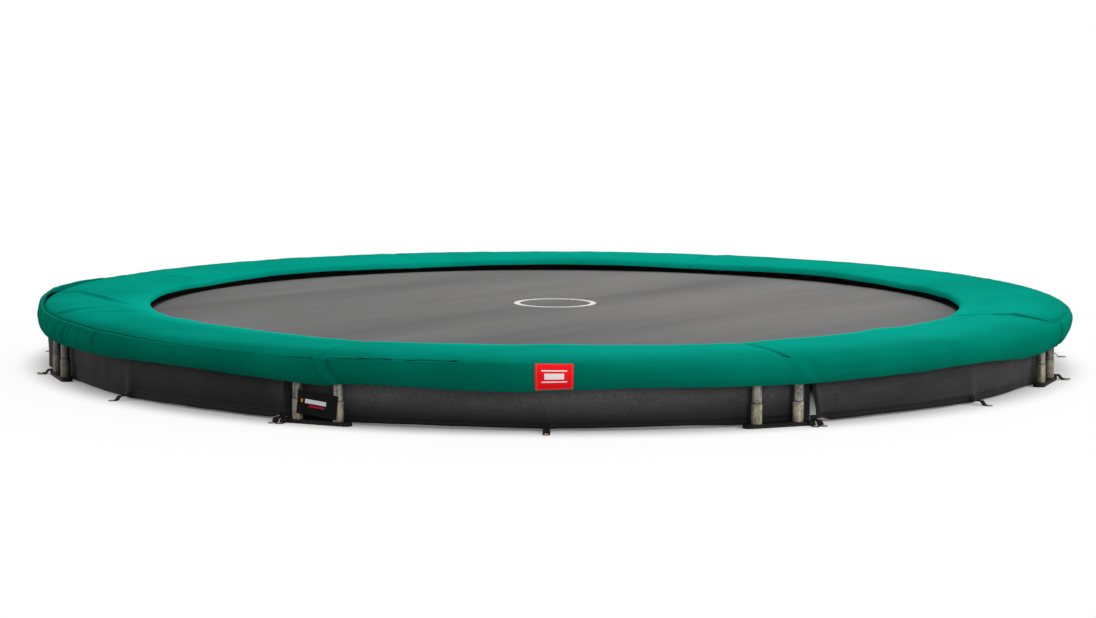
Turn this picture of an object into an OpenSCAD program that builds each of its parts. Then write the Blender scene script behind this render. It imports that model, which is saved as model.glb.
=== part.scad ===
// Low round backyard trampoline: a ring of rail tubes on eight twin-post legs, a sprung jumping
// mat, a padded edge cover in eight pieces and a mesh skirt round the foot.
// Millimetres, +Z up, origin on the ground at the centre, front towards -Y.

/* [Frame ring] */
// Radius of the rail tubes' centre line
rail_ring_r = 2092; // [1500:1:2600]
// Outside diameter of the rail tube
rail_od = 42; // [34:0.5:60]
// Wall of the rail tube
rail_wall = 2; // [1.5:0.1:3]
// Height of the rail's centre line above the ground
rail_z = 212; // [190:1:320]
// Length of the swaged end that plugs into the next rail
spigot_len = 55; // [30:1:58]
// Wall of the swaged end
spigot_wall = 2; // [1.2:0.1:3]
// Length of the swage inside its own rail
collar_len = 15; // [8:1:30]
// Gap between two rails where they butt
rail_butt_gap = 1; // [0.4:0.1:3]
// Radial clearance of a tube that slides into another
tube_clearance = 0.2; // [0.1:0.05:0.5]

/* [Legs] */
// Outside diameter of the lower leg post
post_od = 38; // [32:0.5:50]
// Wall of the lower leg post
post_wall = 1.6; // [1:0.1:3]
// Distance between the two posts of a leg
post_spacing = 160; // [150:1:220]
// Height of the post's top end, where the stub comes out of it
post_top_z = 85; // [75:1:120]
// Wall of the stub under the rail
stub_wall = 2; // [1.2:0.1:3]
// How far the stub reaches into the post
stub_insert = 36; // [25:1:40]
// How far the foot bar reaches out past the posts at each end
foot_overhang = 33; // [15:1:60]
// How far the foot bar is wider than a post on each side
foot_rim = 4; // [2:0.5:10]
// Thickness of the foot bar
foot_thick = 14; // [8:0.5:18]
// Height of the foot bar's plugs inside the posts
foot_plug_h = 26; // [15:1:28]

/* [Screws] */
// Shank diameter of the leg and rail screws
screw_d = 5; // [4:0.1:6]
// Head diameter of the screws
screw_head_d = 10; // [8:0.1:11]
// Height of the screw head
screw_head_h = 2.4; // [1.5:0.1:2.6]
// Length of the screw's shank
screw_len = 9; // [6:0.5:11]
// Distance of the leg screw below the post's top end
leg_screw_drop = 16; // [10:1:20]
// Distance of the rail screw from the butt
rail_screw_offset = 30; // [15:1:40]
// Clearance round a screw's shank
screw_clearance = 0.2; // [0.1:0.05:0.4]

/* [Springs] */
// Springs on each rail
springs_per_rail = 12; // [8:1:13]
// Outside diameter of the coil
coil_od = 22; // [18:0.5:23]
// Spring wire diameter
spring_wire = 3.2; // [2.5:0.1:3.6]
// Length of the coil
coil_len = 230; // [150:1:280]
// Shank from the coil to the rail
rail_shank = 16; // [10:0.5:25]
// Shank from the coil to the mat ring
ring_shank = 14; // [10:0.5:20]
// Bend radius of the hook inside the rail
hook_bend_r = 6; // [4:0.5:7]
// Straight tail of the hook inside the rail
hook_tail = 4; // [2:0.5:6]
// Gap between the hook's bend and the rail's inner wall
hook_gap = 2; // [0.5:0.1:3]
// Diameter of the spring hole in the rail
spring_hole_d = 10; // [8:0.5:12]

/* [Mat] */
// How far the mat hangs below the rail's centre line
mat_drop = 14; // [0:0.5:25]
// Thickness of the jumping mat
mat_thick = 2.5; // [1.5:0.1:4]
// Width of the sewn hem
hem_w = 46; // [35:1:70]
// Thickness of the sewn hem
hem_thick = 8; // [7:0.1:9]
// Distance of the ring's bar from the hem's outer edge
hem_edge = 3; // [2:0.1:5]
// Bend radius of a mat ring
ring_r = 16; // [14:0.5:22]
// Wire diameter of a mat ring
ring_wire = 5; // [4:0.1:6]
// Clearance between the ring and the hem's pocket, and the hook and the ring
ring_clearance = 0.5; // [0.3:0.1:0.8]
// Web left in the hem between the mat's edge and a ring's pocket
hem_web = 2; // [1.2:0.1:4]
// Clearance between the mat's sheet and the hem's slot
hem_clearance = 0.2; // [0.1:0.05:0.4]

/* [Edge pad] */
// How far the pad reaches in over the mat's edge
pad_overlap = 107; // [60:1:200]
// Thickness of the pad over the rail
pad_thick = 24; // [16:0.5:45]
// Thickness of the pad at its inner edge
pad_edge_thick = 20; // [10:0.5:30]
// Rise of the crown across the pad
pad_crown = 3; // [0:0.5:10]
// Drop of the pad's underside from the rail to its inner edge
pad_drop = 4; // [0:0.5:5]
// How much lower the soft lip at the pad's inner edge hangs
pad_lip = 5; // [0:0.5:6]
// Width over which the pad's top rolls over into the skirt
pad_roll_w = 60; // [40:1:90]
// Depth of that roll where the skirt is sewn on
pad_roll_drop = 11; // [5:0.5:15]
// Gap between the rail and the pad that lies on it
pad_lift = 0.4; // [0.3:0.1:2]
// Height of the skirt below the pad's top
skirt_drop = 108; // [80:1:125]
// How far the skirt swells out past its bottom edge
skirt_bulge = 25; // [5:1:40]
// Thickness of the padded skirt
skirt_thick = 7; // [3:0.5:12]
// Gap between the frame and the skirt's lower edge
skirt_gap = 5; // [4:0.5:20]
// Gap between two pads at a seam
pad_seam_gap = 1; // [0.4:0.1:4]
// Turn of the pads round the frame, in degrees, away from seams right above the legs
pad_turn = 0.7; // [0:0.1:3]
// How far a pad is drawn in at a seam
seam_pinch = 4; // [0:0.5:8]
// Length over which a pad is drawn in at a seam
pinch_len = 40; // [20:1:80]

/* [Mesh skirt] */
// Thickness of the mesh with its backing
net_thick = 2; // [1.2:0.1:3]
// Extra thickness of the bottom hem
net_hem_extra = 1.5; // [0.5:0.1:3]
// Width of the bottom hem
net_hem_w = 20; // [12:1:30]
// Gap between the rail's underside and the mesh
net_top_gap = 5; // [2:0.5:12]
// Gap between the foot bar's top and the hem where it is pegged
net_foot_gap = 3; // [1:0.5:8]
// Rise of the hem between two pegs
net_hem_lift = 0; // [0:0.5:15]
// How far the mesh sags inwards between two pegs
net_belly = 6; // [0:0.5:25]
// How far the pegs pull the hem outwards
net_pull = 12; // [0:0.5:14]
// Length of the hem that a peg pulls outwards
net_pull_len = 25; // [15:1:30]
// Distance from a post's side to the join of two mesh panels
net_join_offset = 34; // [31:1:80]
// Gap between the mesh and what stands nearest to it on the frame
net_frame_gap = 0.6; // [0.4:0.1:3]
// Gap between two mesh panels at their join
net_join_gap = 8; // [4:0.5:20]

/* [Peg tabs] */
// Width of a webbing tab
tab_w = 26; // [20:1:28]
// Thickness of a webbing tab
tab_thick = 2; // [1.5:0.1:3]
// Distance from the foot bar's outer side to the eyelets
tab_reach = 38; // [34:1:80]
// Distance from the foot bar's outer side to where a tab bends down
tab_edge_gap = 6; // [5:0.5:8]
// Length of a tab's slope down to the ground
tab_slope = 12; // [8:0.5:14]
// Gap between the foot bar's top and a tab
tab_foot_gap = 1; // [0.5:0.1:2]
// Gap between the hem and the tab sewn to it
tab_hem_gap = 1; // [0.4:0.1:2]
// Distance between the two tabs at a join
tab_pitch = 30; // [29:0.5:40]
// Hole of an eyelet
eyelet_hole_d = 9; // [6:0.1:10]
// Barrel of an eyelet
eyelet_barrel_d = 12; // [11.5:0.1:14]
// Flange of an eyelet
eyelet_flange_d = 19; // [16:0.1:19.8]
// Thickness of an eyelet's flange
eyelet_flange_h = 0.6; // [0.4:0.1:1]
// Clearance round an eyelet
eyelet_clearance = 0.15; // [0.1:0.05:0.3]
// Height of the eyelet's underside above the ground
eyelet_ground_gap = 0.5; // [0.3:0.1:1]

/* [Straps and labels] */
// Width of the pad straps and mesh ties
strap_w = 25; // [15:1:35]
// Thickness of the pad straps and mesh ties
strap_thick = 1.4; // [1:0.1:2]
// Gap between a strap and the rail
strap_clearance = 0.4; // [0.3:0.1:0.6]
// Height of the part of a tie that lies on the mesh
tie_tail = 24; // [10:1:40]
// Width of the label on the front of the skirt
front_label_w = 131; // [60:1:200]
// Thickness of the two labels
label_thick = 1.2; // [0.8:0.1:2]
// Gap between a label and what lies behind it
label_gap = 0.4; // [0.3:0.1:1]
// Width of the label across the posts
leg_label_w = 158; // [100:1:170]
// Height of the label across the posts
leg_label_h = 84; // [40:1:92]
// Height of the leg label's lower edge above the foot bar, before its tilt
leg_label_rise = 14; // [13:1:20]
// How far the leg label sits to one side of the leg's middle
leg_label_shift = 8; // [0:1:12]
// Tilt of the leg label, in degrees
leg_label_tilt = 6; // [0:0.5:8]

/* [Hidden] */
$fn = 96;
sectors = 8;
sector_deg = 360 / sectors;
front_deg = -90;

rail_or = rail_od / 2;
rail_ir = rail_or - rail_wall;
spigot_or = rail_ir - tube_clearance;
spigot_ir = spigot_or - spigot_wall;
spigot_deg = arc_deg(spigot_len, rail_ring_r);
collar_deg = arc_deg(collar_len, rail_ring_r);
butt_deg = arc_deg(rail_butt_gap, rail_ring_r);

post_or = post_od / 2;
post_ir = post_or - post_wall;
stub_or = post_ir - tube_clearance;
stub_ir = stub_or - stub_wall;
stub_end_z = post_top_z - stub_insert;
post_deg = asin(post_spacing / 2 / rail_ring_r);
foot_plug_r = post_ir - tube_clearance;
foot_w = post_od + 2 * foot_rim;
foot_len = post_spacing + post_od + 2 * foot_overhang;
foot_out_r = rail_ring_r + foot_w / 2;
leg_screw_z = post_top_z - leg_screw_drop;
screw_hole_r = screw_d / 2 + screw_clearance;
rail_screw_deg = arc_deg(rail_screw_offset, rail_ring_r);

spring_wire_r = spring_wire / 2;
coil_or = coil_od / 2;
coil_ir = coil_or - spring_wire * PI / 4;
spring_root_r = rail_ring_r - rail_or;
coil_out_r = spring_root_r - rail_shank;
coil_in_r = coil_out_r - coil_len;
spring_end_r = coil_in_r - ring_shank;
spring_reach = spring_root_r - spring_end_r;
spring_slope = asin(mat_drop / spring_reach);
ring_wire_r = ring_wire / 2;
ring_top_r = spring_root_r - spring_reach * cos(spring_slope);
ring_bar_r = ring_top_r - ring_r;
ring_hook_r = ring_wire_r + spring_wire_r + ring_clearance;
hook_bend_x = rail_ring_r - rail_ir + hook_gap;
spring_deg = sector_deg / springs_per_rail;

mat_z = rail_z - mat_drop;
mat_edge_r = ring_bar_r + ring_wire_r + hem_edge;
hem_in_r = mat_edge_r - hem_w;
mat_sheet_r = ring_bar_r - ring_wire_r - ring_clearance - hem_web;

pad_in_r = mat_edge_r - pad_overlap;
skirt_in_r = rail_ring_r + max(rail_or, post_or) + skirt_gap;
skirt_low_r = skirt_in_r + skirt_thick;
skirt_full_r = skirt_low_r + skirt_bulge;
pad_under_z = rail_z + rail_or + pad_lift;
pad_top_z = pad_under_z + pad_thick;
skirt_low_z = pad_top_z - skirt_drop;
pad_steps = 16;

strap_in_r = rail_or + strap_clearance;
strap_out_r = strap_in_r + strap_thick;
net_r = rail_ring_r - max(strap_out_r, post_or + screw_clearance + screw_head_h) - net_frame_gap;
net_top_z = rail_z - rail_or - net_top_gap;
net_low_z = foot_thick + net_foot_gap;
net_steps = 16;

eyelet_ring_r = foot_out_r + tab_reach;
tab_low_z = eyelet_ground_gap + eyelet_flange_h + eyelet_clearance;
tab_root_r = net_r + net_pull + tab_hem_gap;
leg_label_r = rail_ring_r * cos(post_deg) + post_or + label_gap;
leg_label_z = foot_thick + leg_label_rise;

GALVANISED = [0.62, 0.62, 0.58];
ZINC = [0.75, 0.75, 0.72];
PAD_GREEN = [0.0, 0.58, 0.50];
MESH_BLACK = [0.13, 0.13, 0.13];
WEBBING_BLACK = [0.08, 0.08, 0.08];
MAT_GREY = [0.36, 0.36, 0.37];
BRASS = [0.80, 0.66, 0.40];
LABEL_RED = [0.93, 0.12, 0.14];

function arc_deg(len, r) = len / r * 180 / PI;
function rail_mid(i) = front_deg + (i - 1) * sector_deg;
function leg_mid(i) = rail_mid(i) + sector_deg / 2;
function pad_mid(i) = rail_mid(i) + pad_turn;
function polar(r, a, z) = [r * cos(a), r * sin(a), z];
function at_angle(p, a) = polar(p[0], a, p[1]);
function bump(d, len) = exp(-pow(d / len, 2));

// The mesh panels' joins lie on the far side of each leg, seen from the front and from the back.
function join_side(i) = floor((i - 1) / 2) % 2 == 0 ? 1 : -1;
function join_mid(i) =
    leg_mid(i) + join_side(i) * arc_deg(post_spacing / 2 + post_or + net_join_offset, rail_ring_r);
function panel_start(i) = i == 1 ? join_mid(sectors) - 360 : join_mid(i - 1);
function panel_end(i) = join_mid(i);
function panel_mid(i) = (panel_start(i) + panel_end(i)) / 2;

function numbered(name) = [for (i = [1 : sectors]) str(name, "_", i)];

module arc_tube(r_out, r_in, start, sweep) {
    rotate([0, 0, start])
        rotate_extrude(angle = sweep)
            translate([rail_ring_r, 0])
                difference() {
                    circle(r = r_out);
                    circle(r = r_in);
                }
}

module arc_rod(r, start, sweep) {
    rotate([0, 0, start])
        rotate_extrude(angle = sweep)
            translate([rail_ring_r, 0])
                circle(r = r);
}

module around(a, r = 0, z = 0) {
    rotate([0, 0, a])
        translate([r, 0, z])
            children();
}

// A closed solid between two grids of points, each a list of rows along the piece.
module thick_sheet(outer, inner) {
    rows = len(outer);
    cols = len(outer[0]);
    points = concat([for (row = outer) each row], [for (row = inner) each row]);
    back = rows * cols;
    function at(j, i) = j * cols + i;
    function quad(a, b, c, d) = [[a, b, c], [a, c, d]];
    front_faces = [for (j = [0 : rows - 2], i = [0 : cols - 2])
        each quad(at(j, i), at(j + 1, i), at(j + 1, i + 1), at(j, i + 1))];
    back_faces = [for (j = [0 : rows - 2], i = [0 : cols - 2])
        each quad(back + at(j, i), back + at(j, i + 1), back + at(j + 1, i + 1), back + at(j + 1, i))];
    long_edges = [for (j = [0 : rows - 2]) each concat(
        quad(at(j, 0), back + at(j, 0), back + at(j + 1, 0), at(j + 1, 0)),
        quad(at(j + 1, cols - 1), back + at(j + 1, cols - 1), back + at(j, cols - 1), at(j, cols - 1)))];
    end_edges = [for (i = [0 : cols - 2]) each concat(
        quad(at(0, i + 1), back + at(0, i + 1), back + at(0, i), at(0, i)),
        quad(at(rows - 1, i), back + at(rows - 1, i), back + at(rows - 1, i + 1), at(rows - 1, i + 1)))];
    polyhedron(points, concat(front_faces, back_faces, long_edges, end_edges), convexity = 8);
}

module rail(i) {
    start = rail_mid(i) - sector_deg / 2 + butt_deg / 2;
    sweep = sector_deg - butt_deg;
    finish = start + sweep;
    color(GALVANISED)
        difference() {
            union() {
                difference() {
                    union() {
                        arc_rod(rail_or, start, sweep);
                        place_stubs(i, stub_end_z)
                            cylinder(r = stub_or, h = rail_z - stub_end_z);
                    }
                    arc_rod(rail_ir, start - 1, sweep + 2);
                    place_stubs(i, stub_end_z - 1)
                        cylinder(r = stub_ir, h = rail_z - stub_end_z + 1);
                }
                arc_tube((rail_or + rail_ir) / 2, spigot_ir, finish - collar_deg, collar_deg);
                arc_tube(spigot_or, spigot_ir, finish - collar_deg, collar_deg + spigot_deg + butt_deg);
            }
            spring_holes(i);
            place_stubs(i, leg_screw_z)
                translate([-stub_or - 1, 0, 0])
                    rotate([0, 90, 0])
                        cylinder(r = screw_hole_r, h = stub_wall + 2);
            for (a = [start - butt_deg / 2, finish + butt_deg / 2])
                around(a + rail_screw_deg, rail_ring_r, -rail_or - 1)
                    cylinder(r = screw_hole_r, h = rail_or);
        }
}

module spring_holes(i) {
    for (k = [1 : springs_per_rail])
        around(spring_mid(i, k), rail_ring_r - rail_or - 1, 0)
            rotate([0, 90, 0])
                cylinder(d = spring_hole_d, h = rail_or);
}

function spring_mid(i, k) = rail_mid(i) + (k - (springs_per_rail + 1) / 2) * spring_deg;

// The gap between two springs that lies nearest to a share of a rail's length.
function spring_gap(i, share) =
    rail_mid(i) + (round(share * springs_per_rail) - springs_per_rail / 2) * spring_deg;

// The places of a rail's two stubs, at height z above the ground.
module place_stubs(i, z) {
    for (side = [-1, 1])
        around(rail_mid(i) + side * (sector_deg / 2 - post_deg), rail_ring_r, z - rail_z)
            children();
}

module place_on_leg(i) {
    for (side = [-1, 1])
        around(leg_mid(i) + side * post_deg, rail_ring_r, 0)
            children();
}

module leg(i) {
    color(GALVANISED)
        place_on_leg(i)
            difference() {
                translate([0, 0, foot_thick])
                    cylinder(r = post_or, h = post_top_z - foot_thick);
                translate([0, 0, foot_thick - 1])
                    cylinder(r = post_ir, h = post_top_z - foot_thick + 2);
                translate([-post_or - 1, 0, leg_screw_z])
                    rotate([0, 90, 0])
                        cylinder(r = screw_hole_r, h = post_or);
            }
}

module foot(i) {
    end_x = foot_len / 2 - foot_w / 2;
    color(WEBBING_BLACK) {
        around(leg_mid(i), rail_ring_r, 0) {
            translate([-foot_w / 2, -end_x, 0])
                cube([foot_w, 2 * end_x, foot_thick]);
            for (side = [-1, 1])
                translate([0, side * end_x, 0])
                    cylinder(d = foot_w, h = foot_thick);
        }
        place_on_leg(i)
            translate([0, 0, foot_thick / 2])
                cylinder(r = foot_plug_r, h = foot_thick / 2 + foot_plug_h);
    }
}

// A coil as a tube with as much metal as its wire, with a hook into the rail and one round a ring.
module spring() {
    translate([coil_in_r, 0, 0])
        rotate([0, 90, 0])
            difference() {
                cylinder(r = coil_or, h = coil_len);
                translate([0, 0, -1])
                    cylinder(r = coil_ir, h = coil_len + 2);
            }
    for (x = [coil_in_r + spring_wire_r, coil_out_r - spring_wire_r])
        translate([x, 0, -(coil_or + coil_ir) / 2])
            cylinder(r = spring_wire_r, h = coil_or + coil_ir);
    translate([coil_out_r - spring_wire_r, 0, 0])
        rotate([0, 90, 0])
            cylinder(r = spring_wire_r, h = hook_bend_x - coil_out_r + spring_wire_r);
    translate([hook_bend_x, 0, -hook_bend_r])
        rotate([90, 0, 0])
            rotate_extrude(angle = 90)
                translate([hook_bend_r, 0])
                    circle(r = spring_wire_r);
    translate([hook_bend_x + hook_bend_r, 0, -hook_bend_r - hook_tail])
        cylinder(r = spring_wire_r, h = hook_tail);
    translate([spring_end_r, 0, ring_hook_r])
        rotate([0, 90, 0])
            cylinder(r = spring_wire_r, h = ring_shank + spring_wire_r);
    translate([spring_end_r, 0, 0])
        rotate([90, 0, 0])
            rotate([0, 0, 90])
                rotate_extrude(angle = 215)
                    translate([ring_hook_r, 0])
                        circle(r = spring_wire_r);
}

module springs(i) {
    color(ZINC)
        for (k = [1 : springs_per_rail])
            around(spring_mid(i, k), spring_root_r, rail_z)
                rotate([0, -spring_slope, 0])
                    translate([-spring_root_r, 0, 0])
                        spring();
}

module mat() {
    color(MAT_GREY)
        translate([0, 0, mat_z - mat_thick / 2])
            cylinder(r = mat_sheet_r, h = mat_thick, $fn = 256);
}

module mat_hem() {
    slot = mat_thick / 2 + hem_clearance;
    color(WEBBING_BLACK)
        translate([0, 0, mat_z])
            difference() {
                rotate_extrude($fn = 256)
                    polygon([
                        [hem_in_r, -hem_thick / 2],
                        [mat_edge_r, -hem_thick / 2],
                        [mat_edge_r, hem_thick / 2],
                        [hem_in_r, hem_thick / 2],
                        [hem_in_r, slot],
                        [mat_sheet_r + 2 * hem_clearance, slot],
                        [mat_sheet_r + 2 * hem_clearance, -slot],
                        [hem_in_r, -slot]
                    ]);
                for (i = [1 : sectors], k = [1 : springs_per_rail])
                    around(spring_mid(i, k))
                        ring_pocket();
            }
}

// The hem's pocket for one ring: a slot for its bar and a mouth for each of its arms.
module ring_pocket() {
    room = ring_wire_r + ring_clearance;
    reach = hem_edge + ring_wire_r + 1;
    arm_in = sqrt(ring_r * ring_r - reach * reach) - room;
    linear_extrude(height = 2 * room, center = true)
        translate([ring_bar_r, 0])
            polygon([
                [-room, -ring_r - room], [reach, -ring_r - room],
                [reach, -arm_in], [room, -arm_in],
                [room, arm_in], [reach, arm_in],
                [reach, ring_r + room], [-room, ring_r + room]
            ]);
}

module mat_rings() {
    color(ZINC)
        for (i = [1 : sectors], k = [1 : springs_per_rail])
            around(spring_mid(i, k), ring_bar_r, mat_z) {
                rotate([0, 0, -90])
                    rotate_extrude(angle = 180)
                        translate([ring_r, 0])
                            circle(r = ring_wire_r);
                rotate([90, 0, 0])
                    cylinder(r = ring_wire_r, h = 2 * ring_r + ring_wire, center = true);
            }
}

// The pad's outline at a seam (pinch 1) or away from it (pinch 0), as pairs of a point on its
// face and the point behind it, from the inner edge over the top and down the skirt.
function pad_outline(pinch) =
    let (
        top = pad_top_z - pinch * seam_pinch,
        crown = top + pad_crown * (1 - pinch),
        edge_under = pad_under_z - pad_drop,
        edge_top = edge_under + pad_edge_thick - pinch * seam_pinch / 2,
        lip_under = edge_under - pad_lip,
        lip_mid = (lip_under + edge_top) / 2,
        lip_flat = (edge_top - lip_under) / 5,
        width = skirt_low_r - pad_in_r,
        full = skirt_full_r - pinch * seam_pinch,
        drop = top - skirt_low_z
    ) [
        [[pad_in_r, lip_mid + lip_flat], [pad_in_r, lip_mid - lip_flat]],
        [[pad_in_r + pad_edge_thick / 2, edge_top], [pad_in_r + pad_edge_thick / 2, lip_under]],
        [[pad_in_r + width / 6, (edge_top + crown) / 2 + pad_crown], [pad_in_r + width / 6, edge_under]],
        [[pad_in_r + width * 0.38, crown], [pad_in_r + width * 0.38, pad_under_z]],
        [[pad_in_r + width * 0.66, crown], [pad_in_r + width * 0.66, pad_under_z]],
        [[skirt_low_r - pad_roll_w, (top + crown) / 2], [rail_ring_r - rail_or * 1.5, pad_under_z]],
        [[skirt_low_r - pad_roll_w * 0.3, top - pad_roll_drop * 0.2],
         [rail_ring_r + rail_or / 2, pad_under_z]],
        [[skirt_low_r + skirt_bulge * 0.4, top - pad_roll_drop],
         [skirt_in_r + skirt_thick * 0.3, pad_under_z - rail_or * 0.38]],
        [[full, top - drop * 0.36], [full - skirt_thick, top - drop * 0.36]],
        [[full - skirt_bulge * 0.2, top - drop * 0.68],
         [full - skirt_bulge * 0.2 - skirt_thick, top - drop * 0.68]],
        [[skirt_low_r, skirt_low_z], [skirt_in_r, skirt_low_z]]
    ];

// Fractions along a piece, closer together at its ends.
function end_ease(t) = t - 0.6 * sin(360 * t) / (2 * PI);

// Fractions along a piece, closer together at its ends and its middle.
function peg_ease(t) = t - 0.75 * sin(720 * t) / (4 * PI);

module pad(i) {
    seam = arc_deg(pad_seam_gap, skirt_full_r);
    sweep = sector_deg - seam;
    start = pad_mid(i) - sweep / 2;
    stations = [for (j = [0 : pad_steps])
        let (
            t = end_ease(j / pad_steps),
            end_dist = min(t, 1 - t) * sweep * PI / 180 * skirt_low_r
        ) [start + t * sweep, pad_outline(bump(end_dist, pinch_len))]];
    color(PAD_GREEN)
        thick_sheet(
            [for (s = stations) [for (pair = s[1]) at_angle(pair[0], s[0])]],
            [for (s = stations) [for (pair = s[1]) at_angle(pair[1], s[0])]]);
}

// One row of the mesh across its height, at fraction t along a panel whose half is half_len long.
function net_row(t, half_len) =
    let (
        sag = (1 - cos(720 * t)) / 2,
        peg_dist = min(t, abs(t - 0.5), 1 - t) * 2 * half_len,
        low = net_low_z + net_hem_lift * sag,
        shift = net_pull * bump(peg_dist, net_pull_len) - net_belly * sag,
        hem_top = low + net_hem_w
    ) [
        for (p = [[net_top_z, 0, 0], [(net_top_z + hem_top) / 2, 0.5, 0],
                  [hem_top, 0.85, 0], [hem_top - net_thick, 0.87, net_hem_extra], [low, 1, net_hem_extra]])
            [net_r + p[1] * shift, p[0], net_thick + p[2]]
    ];

module net(i) {
    gap = arc_deg(net_join_gap / 2, net_r);
    start = panel_start(i) + gap;
    sweep = panel_end(i) - gap - start;
    half_len = sweep / 2 * PI / 180 * net_r;
    stations = [for (j = [0 : net_steps])
        let (t = peg_ease(j / net_steps)) [start + t * sweep, net_row(t, half_len)]];
    color(MESH_BLACK)
        thick_sheet(
            [for (s = stations) [for (p = s[1]) polar(p[0], s[0], p[1])]],
            [for (s = stations) [for (p = s[1]) polar(p[0] - p[2], s[0], p[1])]]);
}

// A screw along +X with its head's underside at the origin.
module screw() {
    rotate([0, 90, 0])
        cylinder(d = screw_d, h = screw_len);
    translate([-screw_head_h, 0, 0])
        rotate([0, 90, 0])
            cylinder(d = screw_head_d, h = screw_head_h);
}

module leg_screws() {
    color(ZINC)
        for (i = [1 : sectors])
            place_on_leg(i)
                translate([-post_or - screw_clearance, 0, leg_screw_z])
                    screw();
}

module rail_screws() {
    color(ZINC)
        for (i = [1 : sectors])
            around(leg_mid(i) + rail_screw_deg, rail_ring_r, rail_z - rail_or - screw_clearance)
                rotate([0, -90, 0])
                    screw();
}

// A webbing strap under the rail, its two ends up against the pad.
module pad_strap() {
    rotate([90, 0, 0])
        linear_extrude(height = strap_w, center = true)
            difference() {
                union() {
                    circle(r = strap_out_r);
                    translate([-strap_out_r, 0])
                        square([strap_out_r, rail_or]);
                    square([strap_out_r, rail_or * 0.65]);
                }
                circle(r = strap_in_r);
                translate([-strap_in_r, 0])
                    square([2 * strap_in_r, strap_out_r + 1]);
            }
}

module pad_straps() {
    color(WEBBING_BLACK)
        for (i = [1 : sectors], share = [1 / 6, 1 / 2, 5 / 6])
            around(spring_gap(i, share), rail_ring_r, rail_z)
                pad_strap();
}

// A tie clipped round the rail, open at the top, with a tail that lies on the mesh.
module net_tie() {
    tail_low = net_top_z - rail_z - tie_tail;
    mouth = strap_out_r * 0.6;
    rotate([90, 0, 0])
        linear_extrude(height = strap_w, center = true) {
            difference() {
                circle(r = strap_out_r);
                circle(r = strap_in_r);
                translate([-mouth, 0])
                    square([2 * mouth, strap_out_r + 1]);
            }
            translate([-strap_out_r, tail_low])
                square([strap_thick, -tail_low]);
        }
}

module net_ties() {
    color(WEBBING_BLACK)
        for (i = [1 : sectors], share = [1 / 3, 2 / 3])
            around(spring_gap(i, share), rail_ring_r, rail_z)
                net_tie();
}

// Every eyelet's place: one at the middle of a mesh panel and two at each join.
module place_tabs() {
    pair_deg = arc_deg(tab_pitch / 2, rail_ring_r);
    for (i = [1 : sectors]) {
        rotate([0, 0, panel_mid(i)])
            children();
        for (side = [-1, 1])
            rotate([0, 0, join_mid(i) + side * pair_deg])
                children();
    }
}

// A webbing tab sewn to the hem, over the foot bar's edge and out along the ground.
module net_tab() {
    over = foot_thick + tab_foot_gap;
    edge_r = foot_out_r + tab_edge_gap;
    flat_r = edge_r + tab_slope;
    sewn_top = net_low_z + net_hem_w * 0.7;
    rotate([90, 0, 0])
        linear_extrude(height = tab_w, center = true)
            polygon([
                [tab_root_r, over], [edge_r, over], [flat_r, tab_low_z],
                [flat_r + tab_thick, tab_low_z], [flat_r + tab_thick, tab_low_z + tab_thick],
                [flat_r + tab_thick / 2, tab_low_z + tab_thick], [edge_r + tab_thick / 2, over + tab_thick],
                [tab_root_r + tab_thick, over + tab_thick],
                [tab_root_r + tab_thick, sewn_top], [tab_root_r, sewn_top]
            ]);
    translate([0, 0, tab_low_z])
        difference() {
            union() {
                translate([flat_r, -tab_w / 2, 0])
                    cube([eyelet_ring_r - flat_r, tab_w, tab_thick]);
                translate([eyelet_ring_r, 0, 0])
                    cylinder(d = tab_w, h = tab_thick);
            }
            translate([eyelet_ring_r, 0, -1])
                cylinder(d = eyelet_barrel_d + 2 * eyelet_clearance, h = tab_thick + 2);
        }
}

module net_tabs() {
    color(WEBBING_BLACK)
        place_tabs()
            net_tab();
}

module eyelet() {
    height = tab_thick + 2 * (eyelet_flange_h + eyelet_clearance);
    difference() {
        union() {
            cylinder(d = eyelet_barrel_d, h = height);
            cylinder(d = eyelet_flange_d, h = eyelet_flange_h);
            translate([0, 0, height - eyelet_flange_h])
                cylinder(d = eyelet_flange_d, h = eyelet_flange_h);
        }
        translate([0, 0, -1])
            cylinder(d = eyelet_hole_d, h = height + 2);
    }
}

module tab_eyelets() {
    color(BRASS)
        place_tabs()
            translate([eyelet_ring_r, 0, tab_low_z - eyelet_flange_h - eyelet_clearance])
                eyelet();
}

// A sewn label that follows the front of the skirt from below its fold to above its hem.
module front_label() {
    half_deg = arc_deg(front_label_w / 2, skirt_full_r);
    face = [for (k = [7 : 10]) pad_outline(0)[k][0]];
    column = [
        face[0] * 0.85 + face[1] * 0.15,
        face[1],
        face[2],
        face[2] * 0.1 + face[3] * 0.9
    ];
    angles = [for (j = [0 : 4]) pad_mid(1) - half_deg + j * half_deg / 2];
    near = label_gap;
    far = label_gap + label_thick;
    color(LABEL_RED)
        thick_sheet(
            [for (a = angles) [for (p = column) at_angle(p + [far, 0], a)]],
            [for (a = angles) [for (p = column) at_angle(p + [near, 0], a)]]);
}

// A plain label tied across the fronts of the posts of the leg left of the front.
module leg_label() {
    color(WEBBING_BLACK)
        around(leg_mid(sectors), leg_label_r, leg_label_z + leg_label_h / 2)
            translate([0, leg_label_shift, 0])
                rotate([-leg_label_tilt, 0, 0])
                    translate([0, -leg_label_w / 2, -leg_label_h / 2])
                        cube([label_thick, leg_label_w, leg_label_h]);
}

for (i = [1 : sectors]) {
    translate([0, 0, rail_z]) rail(i);
    leg(i);
    foot(i);
    springs(i);
    pad(i);
    net(i);
}
mat();
mat_hem();
mat_rings();
leg_screws();
rail_screws();
pad_straps();
net_ties();
net_tabs();
tab_eyelets();
front_label();
leg_label();
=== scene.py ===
import math

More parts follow.
